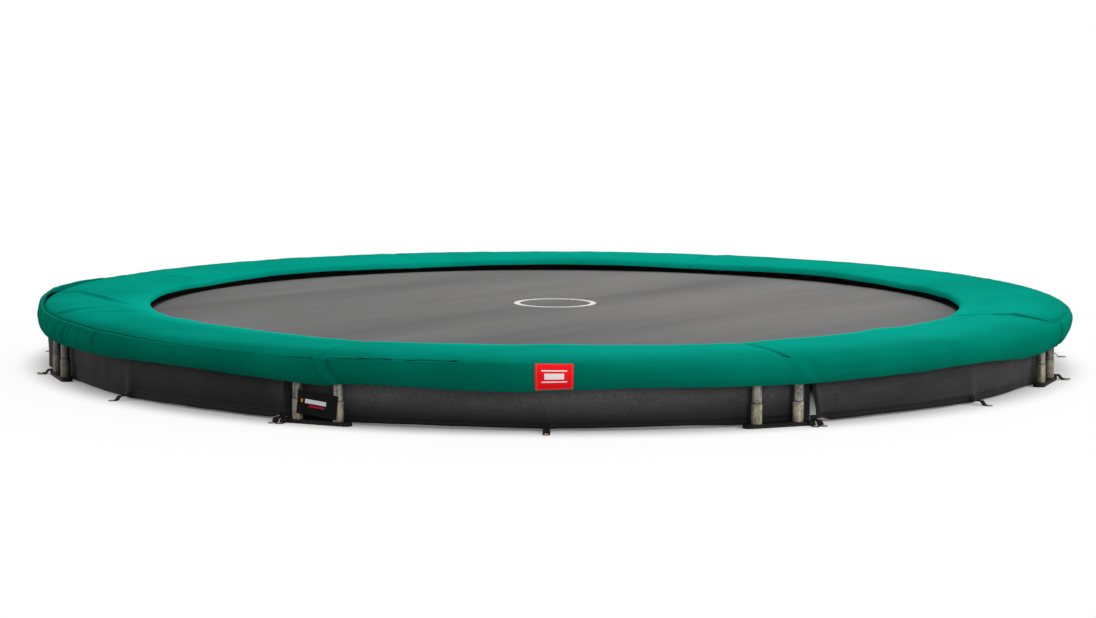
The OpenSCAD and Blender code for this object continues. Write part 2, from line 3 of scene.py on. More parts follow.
import bmesh
import bpy
import numpy as np
from mathutils import Euler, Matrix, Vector


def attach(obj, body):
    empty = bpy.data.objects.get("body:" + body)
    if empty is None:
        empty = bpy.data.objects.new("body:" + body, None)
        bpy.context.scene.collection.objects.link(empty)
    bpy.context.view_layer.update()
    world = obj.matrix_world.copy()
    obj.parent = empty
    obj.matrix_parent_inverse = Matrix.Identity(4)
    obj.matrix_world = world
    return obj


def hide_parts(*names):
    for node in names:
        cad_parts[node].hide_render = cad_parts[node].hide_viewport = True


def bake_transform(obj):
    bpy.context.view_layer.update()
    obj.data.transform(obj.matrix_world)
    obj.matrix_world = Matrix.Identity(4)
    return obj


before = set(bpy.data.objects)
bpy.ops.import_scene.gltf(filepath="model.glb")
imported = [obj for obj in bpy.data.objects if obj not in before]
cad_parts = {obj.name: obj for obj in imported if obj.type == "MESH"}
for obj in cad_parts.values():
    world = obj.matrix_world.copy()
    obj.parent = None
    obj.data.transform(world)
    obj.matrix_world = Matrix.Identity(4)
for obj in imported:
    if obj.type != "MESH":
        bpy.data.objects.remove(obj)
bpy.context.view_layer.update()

# Sizes of the frame in metres and angles in radians, front towards -Y.
SECTORS = 8
NUMBERS = range(1, SECTORS + 1)
SECTOR = 2 * math.pi / SECTORS
FRONT = -math.pi / 2
UP = np.array((0.0, 0.0, 1.0))
RAIL_R = 2.092
RAIL_OR = 0.021
RAIL_Z = 0.212
POST_R = 0.019
POST_SPACING = 0.160
FOOT_OUT_R = 2.115
FOOT_TOP = 0.014

SPRINGS_PER_RAIL = 12
SPRING_STEP = SECTOR / SPRINGS_PER_RAIL
COIL_R = 0.011
SPRING_ROOT_R = RAIL_R - RAIL_OR
COIL_OUT_R = SPRING_ROOT_R - 0.016
COIL_IN_R = COIL_OUT_R - 0.230
SPRING_END_R = COIL_IN_R - 0.014
SPRING_REACH = SPRING_ROOT_R - SPRING_END_R
SPRING_WIRE_R = 0.0016
WIRE_SIDES = 5
COIL_TURNS = 52
TURN_POINTS = 8
RING_HOOK_R = 0.0046
RING_HOOK_SWEEP = math.radians(215)
HOOK_BEND_X = 2.075
HOOK_BEND_R = 0.006
HOOK_TAIL = 0.004

MAT_DROP = 0.014
MAT_Z = RAIL_Z - MAT_DROP
SPRING_SLOPE = math.asin(MAT_DROP / SPRING_REACH)
RING_TOP_R = SPRING_ROOT_R - SPRING_REACH * math.cos(SPRING_SLOPE)
MAT_R = RING_TOP_R - 0.021
MAT_THICK = 0.0025
HEM_OUT_R = RING_TOP_R - 0.0105
HEM_IN_R = HEM_OUT_R - 0.046
HEM_THICK = 0.008

SEAM_GAP = 0.001
PAD_TURN = math.radians(0.7)
PAD_OUT_R = 2.15
SKIRT_R = 2.125

NET_R = 2.0686
NET_TOP_Z = 0.186
NET_LOW_Z = 0.017
NET_THICK = 0.002
NET_HEM_W = 0.020
NET_JOIN_GAP = 0.008
NET_JOIN_OFFSET = 0.133

TAB_W = 0.026
TAB_THICK = 0.002
TAB_PITCH = 0.030
TAB_ROOT_R = 2.0816
TAB_LOW_Z = 0.00125
EYELET_R = 2.153
STRAP_W = 0.025
STRAP_THICK = 0.0014
STRAP_MID_R = RAIL_OR + 0.0011


def rail_mid(i):
    return FRONT + (i - 1) * SECTOR


def leg_mid(i):
    return rail_mid(i) + SECTOR / 2


def join_mid(i):
    side = 1 if ((i - 1) // 2) % 2 == 0 else -1
    return leg_mid(i) + side * NET_JOIN_OFFSET / RAIL_R


def panel_start(i):
    return join_mid(SECTORS) - 2 * math.pi if i == 1 else join_mid(i - 1)


def panel_mid(i):
    return (panel_start(i) + join_mid(i)) / 2


def axes_at(angle):
    """The directions outwards and aside at an angle round the frame."""
    out = np.array((math.cos(angle), math.sin(angle), 0.0))
    aside = np.array((-math.sin(angle), math.cos(angle), 0.0))
    return out, aside


# The camera stands in front and a little to the right, low and far away.
CAMERA_REACH = 10.61
CAMERA_HEIGHT = 1.366
CAMERA_AROUND = math.radians(0.7)
CAMERA_LENS = 82.74
CAMERA_PITCH = math.radians(6.305)
CAMERA_YAW = math.radians(0.149)
CAMERA_ROLL = math.radians(0.2)


def make_camera():
    data = bpy.data.cameras.new("camera")
    data.lens = CAMERA_LENS
    data.sensor_width = 36.0
    data.clip_end = 400.0
    camera = bpy.data.objects.new("camera", data)
    bpy.context.collection.objects.link(camera)
    aside = CAMERA_REACH * math.sin(CAMERA_AROUND)
    back = CAMERA_REACH * math.cos(CAMERA_AROUND)
    camera.location = (aside, -back, CAMERA_HEIGHT)
    look = Euler((math.pi / 2 - CAMERA_PITCH, 0, CAMERA_YAW + CAMERA_AROUND)).to_matrix()
    roll = Euler((0, 0, CAMERA_ROLL)).to_matrix()
    camera.rotation_euler = (look @ roll).to_euler()
    bpy.context.scene.camera = camera


make_camera()


# Smooth repeatable noise and soft steps, worked out for whole arrays at once.

def lattice(ix, iy, seed):
    h = np.sin(ix * 127.1 + iy * 311.7 + seed * 74.7) * 43758.5453
    return h - np.floor(h)


def noise(x, y, seed):
    x, y = np.broadcast_arrays(np.asarray(x, float), np.asarray(y, float))
    ix, iy = np.floor(x), np.floor(y)
    fx, fy = x - ix, y - iy
    ux, uy = fx * fx * (3 - 2 * fx), fy * fy * (3 - 2 * fy)
    low = lattice(ix, iy, seed) * (1 - ux) + lattice(ix + 1, iy, seed) * ux
    high = lattice(ix, iy + 1, seed) * (1 - ux) + lattice(ix + 1, iy + 1, seed) * ux
    return 2 * (low * (1 - uy) + high * uy) - 1


def bump(distance, length):
    return np.exp(-(distance / length) ** 2)


def smooth(x, low, high):
    t = np.clip((x - low) / (high - low), 0, 1)
    return t * t * (3 - 2 * t)


# Mesh making.

def new_object(name, verts, faces, uvs, sharp=40):
    mesh = bpy.data.meshes.new(name)
    mesh.from_pydata([tuple(v) for v in verts], [], faces)
    layer = mesh.uv_layers.new(name="cloth")
    index = np.empty(len(mesh.loops), dtype=np.int32)
    mesh.loops.foreach_get("vertex_index", index)
    layer.data.foreach_set("uv", np.asarray(uvs, dtype=np.float32)[index].ravel())
    work = bmesh.new()
    work.from_mesh(mesh)
    bmesh.ops.recalc_face_normals(work, faces=work.faces)
    work.to_mesh(mesh)
    work.free()
    mesh.polygons.foreach_set("use_smooth", [True] * len(mesh.polygons))
    mesh.set_sharp_from_angle(angle=math.radians(sharp))
    obj = bpy.data.objects.new(name, mesh)
    bpy.context.collection.objects.link(obj)
    return obj


def dress(piece, body, node, slot, *materials):
    """Gives a piece its materials and its body, and hides the CAD node it stands for; the slot is not
    used.
    """
    for material in materials:
        piece.data.materials.append(material)
    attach(piece, body)
    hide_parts(node)


class Parts:
    """Several closed shells gathered into one mesh."""

    def __init__(self):
        self.verts, self.faces, self.uvs = [], [], []

    def add(self, verts, faces, uvs):
        base = sum(len(v) for v in self.verts)
        self.verts.append(np.asarray(verts, float))
        self.uvs.append(np.asarray(uvs, float))
        self.faces.extend([tuple(base + k for k in f) for f in faces])

    def make(self, name, sharp=40):
        verts, uvs = np.concatenate(self.verts), np.concatenate(self.uvs)
        return new_object(name, verts, self.faces, uvs, sharp)


def grid(u, v):
    return np.stack(np.broadcast_arrays(u, v), axis=-1)


def polar(r, angle, z):
    return np.stack(np.broadcast_arrays(r * np.cos(angle), r * np.sin(angle), z), axis=-1)


def unit(vectors):
    return vectors / np.linalg.norm(vectors, axis=-1, keepdims=True)


def full_turn(count):
    return np.arange(count) * 2 * math.pi / count


def along_path(path):
    """The length of a path up to each of its points."""
    return np.concatenate([[0], np.cumsum(np.linalg.norm(np.diff(path, axis=0), axis=1))])


def quads(index):
    """The four-sided faces between neighbours in a grid of point numbers."""
    corners = [index[:-1, :-1], index[:-1, 1:], index[1:, 1:], index[1:, :-1]]
    return np.stack(corners, axis=-1).reshape(-1, 4).tolist()


def wrapped(index, axis):
    """A grid of point numbers that ends with its first row or column again."""
    return np.concatenate([index, index.take([0], axis)], axis)


def sheet_shell(outer, inner, uv):
    """A closed shell between two grids of points of the same size."""
    rows, cols = outer.shape[:2]
    front = np.arange(rows * cols).reshape(rows, cols)
    back = front + front.size
    rim = np.concatenate([front[0, :-1], front[:-1, -1], front[-1, :0:-1], front[:0:-1, 0]])
    edge = wrapped(np.stack([rim, rim + front.size]), 1)
    verts = np.concatenate([outer, inner]).reshape(-1, 3)
    return verts, quads(front) + quads(back) + quads(edge), np.concatenate([uv, uv]).reshape(-1, 2)


def ring_shell(loops, uv, closed_rows):
    """A closed shell from loops of points, each loop a closed section."""
    rows, cols = loops.shape[:2]
    index = np.arange(rows * cols).reshape(rows, cols)
    if closed_rows:
        faces = quads(wrapped(wrapped(index, 0), 1))
    else:
        faces = quads(wrapped(index, 1)) + [index[0].tolist(), index[-1].tolist()]
    return loops.reshape(-1, 3), faces, uv.reshape(-1, 2)


def curve_through(points, steps):
    """A smooth curve through points, with the given number of steps in each span."""
    p = np.asarray(points, float)
    ends = np.concatenate([[2 * p[0] - p[1]], p, [2 * p[-1] - p[-2]]])
    out = []
    for k, count in enumerate(steps):
        a, b, c, d = ends[k:k + 4]
        t = (np.arange(count) / count)[:, None]
        out.append(0.5 * (2 * b + (c - a) * t + (2 * a - 5 * b + 4 * c - d) * t ** 2
                          + (3 * b - a - 3 * c + d) * t ** 3))
    return np.concatenate(out + [p[-1:]])


def tube_shell(path, radius, sides):
    """A closed round tube along a path of points."""
    tangent = unit(np.gradient(path, axis=0))
    normal = unit(np.cross(tangent[0], (0.3, 0.2, 0.93)))
    turn = full_turn(sides)
    loops = np.empty((len(path), sides, 3))
    for j, t in enumerate(tangent):
        normal = unit(normal - t * np.dot(normal, t))
        side = np.cross(t, normal)
        ring = np.cos(turn)[:, None] * normal + np.sin(turn)[:, None] * side
        loops[j] = path[j] + radius * ring
    uv = grid(along_path(path)[:, None], turn[None, :] * radius)
    return ring_shell(loops, uv, False)


def band_shell(path, across, width, thick, columns=5):
    """A flat webbing band along a path, as wide along across, thinner at its selvedges."""
    path = np.asarray(path, float)
    face = unit(np.cross(unit(np.gradient(path, axis=0)), across))
    share = np.linspace(-1, 1, columns)
    half = thick / 2 * (1 - 0.35 * share ** 4)
    centre = path[:, None, :] + across * (share * width / 2)[None, :, None]
    lift = face[:, None, :] * half[None, :, None]
    uv = grid(along_path(path)[:, None], (share * width / 2)[None, :])
    return sheet_shell(centre + lift, centre - lift, uv)


# The edge pad: a padded top, a sewn fold and a hanging skirt, as points from its inner edge to its
# hem, in metres from the centre and above the ground.
PAD_FACE = [
    (1.6946, 0.2226), (1.6938, 0.2310), (1.6952, 0.2400), (1.7015, 0.2470), (1.7220, 0.2522),
    (1.7650, 0.2568), (1.8500, 0.2600), (1.9400, 0.2604), (2.0200, 0.2596), (2.0700, 0.2580),
    (2.0980, 0.2562), (2.1120, 0.2548), (2.1190, 0.2534), (2.1300, 0.2470), (2.1430, 0.2340),
    (2.1500, 0.2165), (2.1488, 0.1970), (2.1420, 0.1740), (2.1310, 0.1560), (2.1262, 0.1494)]
PAD_BACK = [
    (1.6952, 0.2216), (1.6972, 0.2208), (1.7010, 0.2206), (1.7070, 0.2212), (1.7240, 0.2240),
    (1.7650, 0.2288), (1.8500, 0.2320), (1.9400, 0.2334), (2.0200, 0.2334), (2.0660, 0.2334),
    (2.0920, 0.2335), (2.1060, 0.2330), (2.1130, 0.2315), (2.1215, 0.2285), (2.1340, 0.2215),
    (2.1425, 0.2120), (2.1415, 0.1960), (2.1345, 0.1735), (2.1238, 0.1555), (2.1192, 0.1494)]
# Heights of the face's eighth to fifteenth points where it rolls over without a crisp fold.
ROUND_Z = [0.2600, 0.2580, 0.2552, 0.2526, 0.2504, 0.2488, 0.2446, 0.2330]
PAD_ROUND = PAD_FACE[:7] + [(r, z) for (r, _), z in zip(PAD_FACE[7:15], ROUND_Z)] + PAD_FACE[15:]
PAD_STEPS = [2, 2, 3, 4, 5, 6, 6, 5, 4, 4, 4, 4, 4, 4, 5, 5, 5, 4, 3]
FOLD_INDEX = 12
PAD_STATIONS = 176

face_curve = curve_through(PAD_FACE, PAD_STEPS)
round_curve = curve_through(PAD_ROUND, PAD_STEPS)
back_curve = curve_through(PAD_BACK, PAD_STEPS)
path_length = along_path(face_curve)
FOLD_ROW = sum(PAD_STEPS[:FOLD_INDEX])
FOLD_AT = float(path_length[FOLD_ROW])
HEM_AT = float(path_length[-1])
PAD_SWEEP = SECTOR - SEAM_GAP / PAD_OUT_R
PAD_LENGTH = PAD_SWEEP * SKIRT_R

# Where the seam at the fold gapes, painted as shade: degrees from the front, half its length in degrees,
# half its width in metres.
SLITS = [
    (-88.0, 9.5, 0.0058), (-34.0, 0.50, 0.0022), (-23.5, 0.40, 0.0066), (-20.0, 0.50, 0.0036),
    (-18.4, 1.20, 0.0060), (-15.5, 0.40, 0.0044), (-13.4, 0.40, 0.0044), (-9.3, 0.55, 0.0062)]
# Where the fold is drawn into short deep puckers: degrees from the front, depth in metres and
# width in degrees to the left and to the right.
PUCKERS = [
    (-33.5, 0.004, 0.2, 0.5), (-23.5, 0.009, 0.35, 0.25), (-20.1, 0.005, 0.2, 0.2),
    (-19.0, 0.008, 0.15, 1.2), (-15.5, 0.005, 0.2, 0.3), (-13.4, 0.006, 0.2, 0.35),
    (-9.3, 0.007, 0.3, 0.3), (-46.0, 0.004, 0.3, 0.3), (38.0, 0.003, 0.3, 0.3),
    (61.0, 0.004, 0.4, 0.3), (118.0, 0.005, 0.4, 0.4), (160.0, 0.004, 0.3, 0.4),
    (-84.0, 0.010, 0.7, 0.5), (-96.0, 0.012, 2.2, 1.4), (-127.0, 0.005, 0.4, 0.4),
    (-150.0, 0.005, 0.4, 0.4)]
# Soft upright folds of the skirt: degrees from the front, depth in metres, width in degrees, how far
# the fold drifts aside on its way down in degrees, and how dark its bottom is.
SKIRT_FOLDS = [
    (-21.6, 0.005, 0.35, 1.2, 0.3), (-22.6, -0.004, 0.40, 1.2, 0.0), (-64.0, 0.006, 0.50, -1.0, 0.25),
    (-61.2, 0.007, 0.40, -1.4, 0.45), (-59.6, 0.006, 0.30, -1.2, 0.30), (-57.2, 0.004, 0.30, -0.8, 0.20),
    (-53.6, 0.008, 0.35, -0.5, 0.55), (24.5, 0.004, 0.80, 1.2, 0.1), (68.0, 0.004, 0.70, 1.2, 0.1)]
# Long creases in the top: degrees from the front and radius at both ends, depth in metres.
CREASES = [
    (-89.8, 2.10, -90.0, 2.00, 0.005), (-90.2, 2.02, -75.5, 1.79, 0.008),
    (-103.0, 2.10, -96.0, 1.92, 0.0025), (-67.8, 2.11, -72.6, 1.90, 0.007),
    (-3.4, 1.99, -2.2, 2.11, 0.004), (-4.6, 2.04, -3.2, 2.12, 0.004), (-7.6, 1.97, -6.6, 2.07, 0.004),
    (64.4, 1.74, 68.9, 1.99, 0.007), (68.9, 1.92, 65.0, 2.11, 0.007),
    (-39.0, 2.10, -34.0, 1.90, 0.0012), (33.0, 2.09, 29.0, 1.88, 0.0012),
    (82.0, 2.10, 71.0, 1.86, 0.002), (104.0, 2.10, 97.0, 1.90, 0.002),
    (-140.0, 2.10, -146.0, 1.90, 0.0015)]
# The radius at which a crease's degrees are turned into metres, the width of its valley, and the
# width and share of the ridge along one side.
CREASE_R = 2.0
CREASE_W = 0.010
RIDGE_W = 0.030
RIDGE_SHARE = 0.8
# Shaded bottoms of the deepest creases: degrees from the front and radius at both ends, the share
# of shade there, and half the width in metres.
CREASE_SHADES = [
    (-89.8, 2.10, -90.0, 2.01, 0.25, 0.55, 0.026), (-90.0, 2.01, -84.0, 1.91, 0.55, 0.80, 0.026),
    (-84.0, 1.91, -75.0, 1.79, 0.80, 0.05, 0.026), (-67.8, 2.11, -72.6, 1.90, 0.85, 0.05, 0.020),
    (64.4, 1.74, 67.0, 1.85, 0.25, 0.70, 0.018), (67.0, 1.85, 68.4, 1.95, 0.70, 0.90, 0.018),
    (68.4, 1.95, 66.7, 2.03, 0.90, 0.85, 0.018), (66.7, 2.03, 64.8, 2.12, 0.85, 0.70, 0.018),
    (65.0, 2.13, 74.0, 2.13, 0.40, 0.50, 0.014), (74.0, 2.13, 84.0, 2.13, 0.50, 0.05, 0.014)]
# How far the shade's middle lies up the ridge, how wide its darkest part is, and how far a line
# runs past its middle, as a share of its length, so that lines join.
SHADE_SIDE = 0.006
SHADE_CORE = 0.004
SHADE_RUN = 0.53
# Height of the collar that the skirt's top makes where the pad has sunk: degrees and metres.
COLLAR = [
    (-112, 0.0), (-108, 0.006), (-104, 0.014), (-98, 0.018), (-92, 0.022), (-86, 0.015), (-80, 0.005),
    (-70, 0.0), (95, 0.0), (115, 0.004), (150, 0.004), (170, 0.0)]
# Height by which the hem hangs above or below its plain line: degrees and metres.
HEM_LINE = [
    (-80, 0.0), (-60, 0.003), (-48, 0.010), (-42, 0.015), (-36, 0.016), (-31, 0.004), (-27, 0.002),
    (-23, -0.009), (-19, 0.003), (-15, 0.003), (-10, -0.003), (-3, -0.006), (4, 0.003), (8.5, 0.006),
    (13, 0.003), (21, 0.0), (26, 0.001), (30, 0.006), (38, 0.007), (43, 0.010), (48.5, 0.012),
    (56, -0.006), (62, -0.012), (70, -0.005), (82, 0.0)]
# How far the fold's seam has slipped down: degrees and metres.
FOLD_LINE = [
    (-60, 0.0), (-48, 0.005), (-40, 0.010), (-34, 0.014), (-26, 0.018), (-22, 0.014), (-17, 0.009),
    (-12, 0.006), (-4, 0.005), (4, 0.0)]
# How strong the groove between two pads is: degrees of the seam and share.
SEAM_SHARE = [(-67.5, 0.2), (-22.5, 0.15), (22.5, 1.0), (67.5, 0.25)]
# How a pad is drawn in and down towards its ends, and the narrow groove at the very end.
PINCH = 0.004
PINCH_LEN = 0.040
GROOVE = 0.011
GROOVE_LEN = 0.008
# Unevenness: height, length along the pad and length across it in metres, and a seed. The skirt's
# heights are shares of SKIRT_WAVE and, towards the hem, HEM_WAVE.
ALIKE = math.inf
TOP_WANDER = [(0.0016, 0.27, 0.16, 0), (0.0007, 0.075, 0.07, 20)]
FOLD_WANDER = [(0.0012, 0.045, 0.5, 40)]
SEAM_WANDER = [(0.0012, 0.05, ALIKE, 60)]
SKIRT_WAVES = [(1.0, 0.16, 0.4, 80), (0.5, 0.06, 0.3, 100)]
HEM_WAVES = [(0.0015, 0.30, ALIKE, 120), (0.0010, 0.08, ALIKE, 140)]
EDGE_WAVES = [(0.002, 0.2, ALIKE, 160)]
SEAM_DEPTH = 0.0022
SEAM_W = 0.0055
SKIRT_WAVE = 0.0022
HEM_WAVE = 0.0020
EDGE_LIFT = 0.007
EDGE_DROP = 0.002

# Where each point of the face is: on the top, at the fold's seam, on the skirt, towards the hem.
ACROSS = path_length[None, :]
PAST_FOLD = ACROSS - FOLD_AT
ON_TOP = smooth(ACROSS, 0.0, 0.05) * (1 - smooth(PAST_FOLD, -0.03, 0.02))
AT_SEAM = bump(PAST_FOLD, SEAM_W)
ON_SKIRT = smooth(PAST_FOLD, 0.0, 0.05)
FREE_SKIRT = smooth(PAST_FOLD, 0.004, 0.030)
TO_HEM = smooth(ACROSS, FOLD_AT + 0.03, HEM_AT)


def from_front(angle):
    """The angle in degrees from the middle of the front pad, from -180 to 180."""
    return (np.degrees(angle - FRONT - PAD_TURN) + 180) % 360 - 180


def along_table(table, front):
    """A smooth reading of a table of angles and values at each angle."""
    at, value = np.array(table).T
    near = np.linspace(-1.5, 1.5, 7)
    return np.mean([np.interp(front + d, at, value) for d in near], axis=0)


def unevenness(table, run, seed):
    return sum(high * noise(run / along, ACROSS / across, seed + more)
               for high, along, across, more in table)


def rounded_fold(front):
    """Where the top rolls over into the skirt without a crisp fold: right of the front."""
    return smooth(front, -3, 8) * (1 - smooth(front, 75, 105))


def crease_depth(front, radius):
    """The depth of all creases at each point of a pad's top."""
    depth = np.zeros(np.broadcast(front, radius).shape)
    x = np.radians(front) * CREASE_R
    for f0, r0, f1, r1, deep in CREASES:
        dx, dr = x - math.radians(f0) * CREASE_R, radius - r0
        along = np.array((math.radians(f1 - f0) * CREASE_R, r1 - r0))
        t = np.clip((dx * along[0] + dr * along[1]) / (along @ along), 0, 1)
        aside = dx * along[1] - dr * along[0]
        apart = np.hypot(dx - t * along[0], dr - t * along[1])
        line = bump(apart, CREASE_W) - RIDGE_SHARE * bump(apart, RIDGE_W) * (aside > 0)
        depth = depth + deep * line * np.sin(np.pi * np.clip(t, 0.02, 0.98)) ** 0.5
    return depth


def pucker_depth(front):
    depth = np.zeros_like(front)
    for at, deep, left, right in PUCKERS:
        depth = depth + deep * bump(front - at, np.where(front < at, left, right))
    return depth


def end_shape(front, end):
    """How far out and up a pad's ends are drawn."""
    pinch = PINCH * bump(end, PINCH_LEN)
    share = along_table(SEAM_SHARE, front)
    groove = GROOVE * bump(end, GROOVE_LEN) * share * (0.3 + 0.7 * smooth(ACROSS, 0.08, 0.34))
    return -0.5 * ON_SKIRT * pinch * share, -ON_TOP * (pinch * (0.4 + 0.6 * share) + groove)


def top_shape(i, front, run, radius):
    return ON_TOP * (unevenness(TOP_WANDER, run, i) - crease_depth(front, radius))


def fold_shape(i, front, run, soft):
    """How far out and up the fold is moved by its stitches, puckers, collar and slip."""
    up = unevenness(FOLD_WANDER, run, i) * bump(PAST_FOLD, 0.05) * (1 - 0.6 * soft)
    drawn = (SEAM_DEPTH + unevenness(SEAM_WANDER, run, i)) * (1 - 0.85 * soft)
    pucker = pucker_depth(front)
    up = up - AT_SEAM * (drawn + pucker)
    out = -0.6 * AT_SEAM * pucker
    collar = along_table(COLLAR, front)
    stand = smooth(PAST_FOLD, 0.001, 0.009) * (1 - smooth(PAST_FOLD, 0.020, 0.046))
    up = up + collar * (stand - 0.6 * AT_SEAM)
    out = out + 0.6 * collar * bump(PAST_FOLD - 0.022, 0.014)
    slip = along_table(FOLD_LINE, front) * bump(PAST_FOLD, 0.022)
    return out + 0.75 * slip, up - slip


def skirt_shape(i, front, run):
    """How far out the skirt waves and folds."""
    out = ON_SKIRT * (SKIRT_WAVE + HEM_WAVE * TO_HEM) * unevenness(SKIRT_WAVES, run, i)
    for at, deep, wide, drift, _ in SKIRT_FOLDS:
        out = out - FREE_SKIRT * deep * bump(front - at - drift * TO_HEM, wide)
    return out


def edge_shape(i, front, run, phi):
    """How far up the hem and the inner edge are, for the face and the back alike."""
    hem = unevenness(HEM_WAVES, run, i) + along_table(HEM_LINE, front)
    lift = EDGE_LIFT * np.cos(np.pi * phi / PAD_SWEEP)[:, None] ** 1.5 - EDGE_DROP
    lift = (lift + unevenness(EDGE_WAVES, run, i)) * (1 - smooth(ACROSS, 0.02, 0.22))
    return TO_HEM * hem + lift


def pad_surface(i, phi):
    """The face and the back of pad i at angles phi from its middle."""
    angle = rail_mid(i) + PAD_TURN + phi
    front = from_front(angle)[:, None]
    run = (phi * SKIRT_R)[:, None]
    end = ((PAD_SWEEP / 2 - np.abs(phi)) * SKIRT_R)[:, None]
    soft = rounded_fold(front)
    radius = face_curve[None, :, 0] * (1 - soft) + round_curve[None, :, 0] * soft
    height = face_curve[None, :, 1] * (1 - soft) + round_curve[None, :, 1] * soft
    end_out, end_up = end_shape(front, end)
    fold_out, fold_up = fold_shape(i, front, run, soft)
    out = end_out + fold_out + skirt_shape(i, front, run)
    up = end_up + fold_up + top_shape(i, front, run, radius)
    edge = edge_shape(i, front, run, phi)
    spread = 0.9 * SEAM_GAP / SKIRT_R * phi[:, None] / PAD_SWEEP
    angle = angle[:, None] + ON_SKIRT * spread
    face = polar(radius + out, angle, height + up + edge)
    back = polar(back_curve[None, :, 0] + ON_SKIRT * out, angle, back_curve[None, :, 1] + edge)
    return face, back


def pad_stations():
    """Angles along a pad, closer together towards its ends."""
    t = np.linspace(0, 1, PAD_STATIONS)
    t = t - 0.8 * np.sin(2 * np.pi * t) / (2 * np.pi)
    return (t - 0.5) * PAD_SWEEP


def make_pads(cover, lining):
    phi = pad_stations()
    uv = grid((phi * SKIRT_R)[:, None], ACROSS)
    for i in NUMBERS:
        face, back = pad_surface(i, phi)
        pad = new_object("edge_pad_%d" % i, *sheet_shell(face, back, uv), sharp=62)
        dress(pad, "frame", "pad_%d" % i, "pad_cover", cover, lining)
        lowest = np.array([min(f.vertices) for f in pad.data.polygons])
        on_back = lowest >= face.shape[0] * face.shape[1]
        pad.data.polygons.foreach_set("material_index", on_back.astype(np.int32))


# Materials. What a node gives is kept as a Value, on which plain arithmetic makes more nodes.

def srgb(red, green, blue):
    def one(c):
        c /= 255
        return c / 12.92 if c <= 0.04045 else ((c + 0.055) / 1.055) ** 2.4
    return (one(red), one(green), one(blue), 1.0)


def sign(operation, swapped=False):
    """A method for a sign between two values, the first of which may be a plain number."""
    def method(self, other):
        return calc(operation, other, self) if swapped else calc(operation, self, other)
    return method


class Value:
    """A number, colour or vector that a node gives. The sign | takes the larger of two numbers."""

    __add__ = sign("ADD")
    __radd__ = sign("ADD", swapped=True)
    __sub__ = sign("SUBTRACT")
    __rsub__ = sign("SUBTRACT", swapped=True)
    __mul__ = sign("MULTIPLY")
    __or__ = sign("MAXIMUM")
    __lt__ = sign("LESS_THAN")
    __gt__ = sign("GREATER_THAN")

    def __init__(self, socket):
        self.socket = socket
        self.tree = socket.id_data

    def __abs__(self):
        return calc("ABSOLUTE", self)


def add_node(tree, kind, inputs=None, **settings):
    node = tree.nodes.new(kind)
    for key, value in settings.items():
        setattr(node, key, value)
    for key, value in (inputs or {}).items():
        if isinstance(value, Value):
            tree.links.new(value.socket, node.inputs[key])
        else:
            node.inputs[key].default_value = value
    return node


def give(tree, kind, inputs=None, output=0, **settings):
    return Value(add_node(tree, kind, inputs, **settings).outputs[output])


def calc(operation, *values):
    tree = next(v.tree for v in values if isinstance(v, Value))
    return give(tree, "ShaderNodeMath", dict(enumerate(values)), operation=operation)


def mix(share, first, second):
    inputs = {0: share, 6: first, 7: second}
    return give(share.tree, "ShaderNodeMix", inputs, 2, data_type="RGBA")


def noise_of(vector, scale, detail=3.0):
    inputs = {"Vector": vector, "Scale": scale, "Detail": detail, "Roughness": 0.55}
    return give(vector.tree, "ShaderNodeTexNoise", inputs)


def ramp(value, low, high, first=0.0, last=1.0, **settings):
    inputs = {0: value, 1: low, 2: high, 3: first, 4: last}
    return give(value.tree, "ShaderNodeMapRange", inputs, **settings)


def stretched(vector, scale, turn=0.0):
    """Coordinates turned about Z, then scaled along their new axes."""
    turned = give(vector.tree, "ShaderNodeMapping", {"Vector": vector, "Rotation": (0, 0, -turn)})
    return give(vector.tree, "ShaderNodeMapping", {"Vector": turned, "Scale": scale})


def bump_of(height, strength, distance, below=None):
    inputs = {"Height": height, "Strength": strength, "Distance": distance}
    if below is not None:
        inputs["Normal"] = below
    return give(height.tree, "ShaderNodeBump", inputs)


def line_at(value, centre, half_width):
    return calc("COMPARE", value, centre, half_width)


def dashes(along, pitch, share):
    return calc("FRACT", calc("DIVIDE", along, pitch)) < share


def waves(value, pitch):
    return calc("SINE", value * (2 * math.pi / pitch))


def any_of(masks):
    out = masks[0]
    for mask in masks[1:]:
        out = out | mask
    return out


def parts_of(vector):
    node = add_node(vector.tree, "ShaderNodeSeparateXYZ", {0: vector})
    return [Value(out) for out in node.outputs]


def length_of(vector):
    return give(vector.tree, "ShaderNodeVectorMath", {0: vector}, 1, operation="LENGTH")


def flat_length(x, y):
    return length_of(give(x.tree, "ShaderNodeCombineXYZ", {0: x, 1: y, 2: 0.0}))


class Paint:
    """A new material with its shader, and the coordinates that its textures use."""

    def __init__(self, name, roughness, metallic=0.0, specular=0.5):
        self.material = bpy.data.materials.new(name)
        self.material.use_nodes = True
        self.tree = self.material.node_tree
        self.shader = self.tree.nodes["Principled BSDF"]
        self.shader.inputs["Roughness"].default_value = roughness
        self.shader.inputs["Metallic"].default_value = metallic
        self.shader.inputs["Specular IOR Level"].default_value = specular
        self.place = give(self.tree, "ShaderNodeTexCoord", output="Object")

    def uv(self):
        return give(self.tree, "ShaderNodeUVMap", uv_map="cloth")

    def put(self, socket, value):
        self.tree.links.new(value.socket, self.shader.inputs[socket])

    def done(self, colour, normal, roughness=None):
        """Links the shader's colour, normal and perhaps roughness, and gives the material."""
        self.put("Base Color", colour)
        self.put("Normal", normal)
        if roughness is not None:
            self.put("Roughness", roughness)
        return self.material


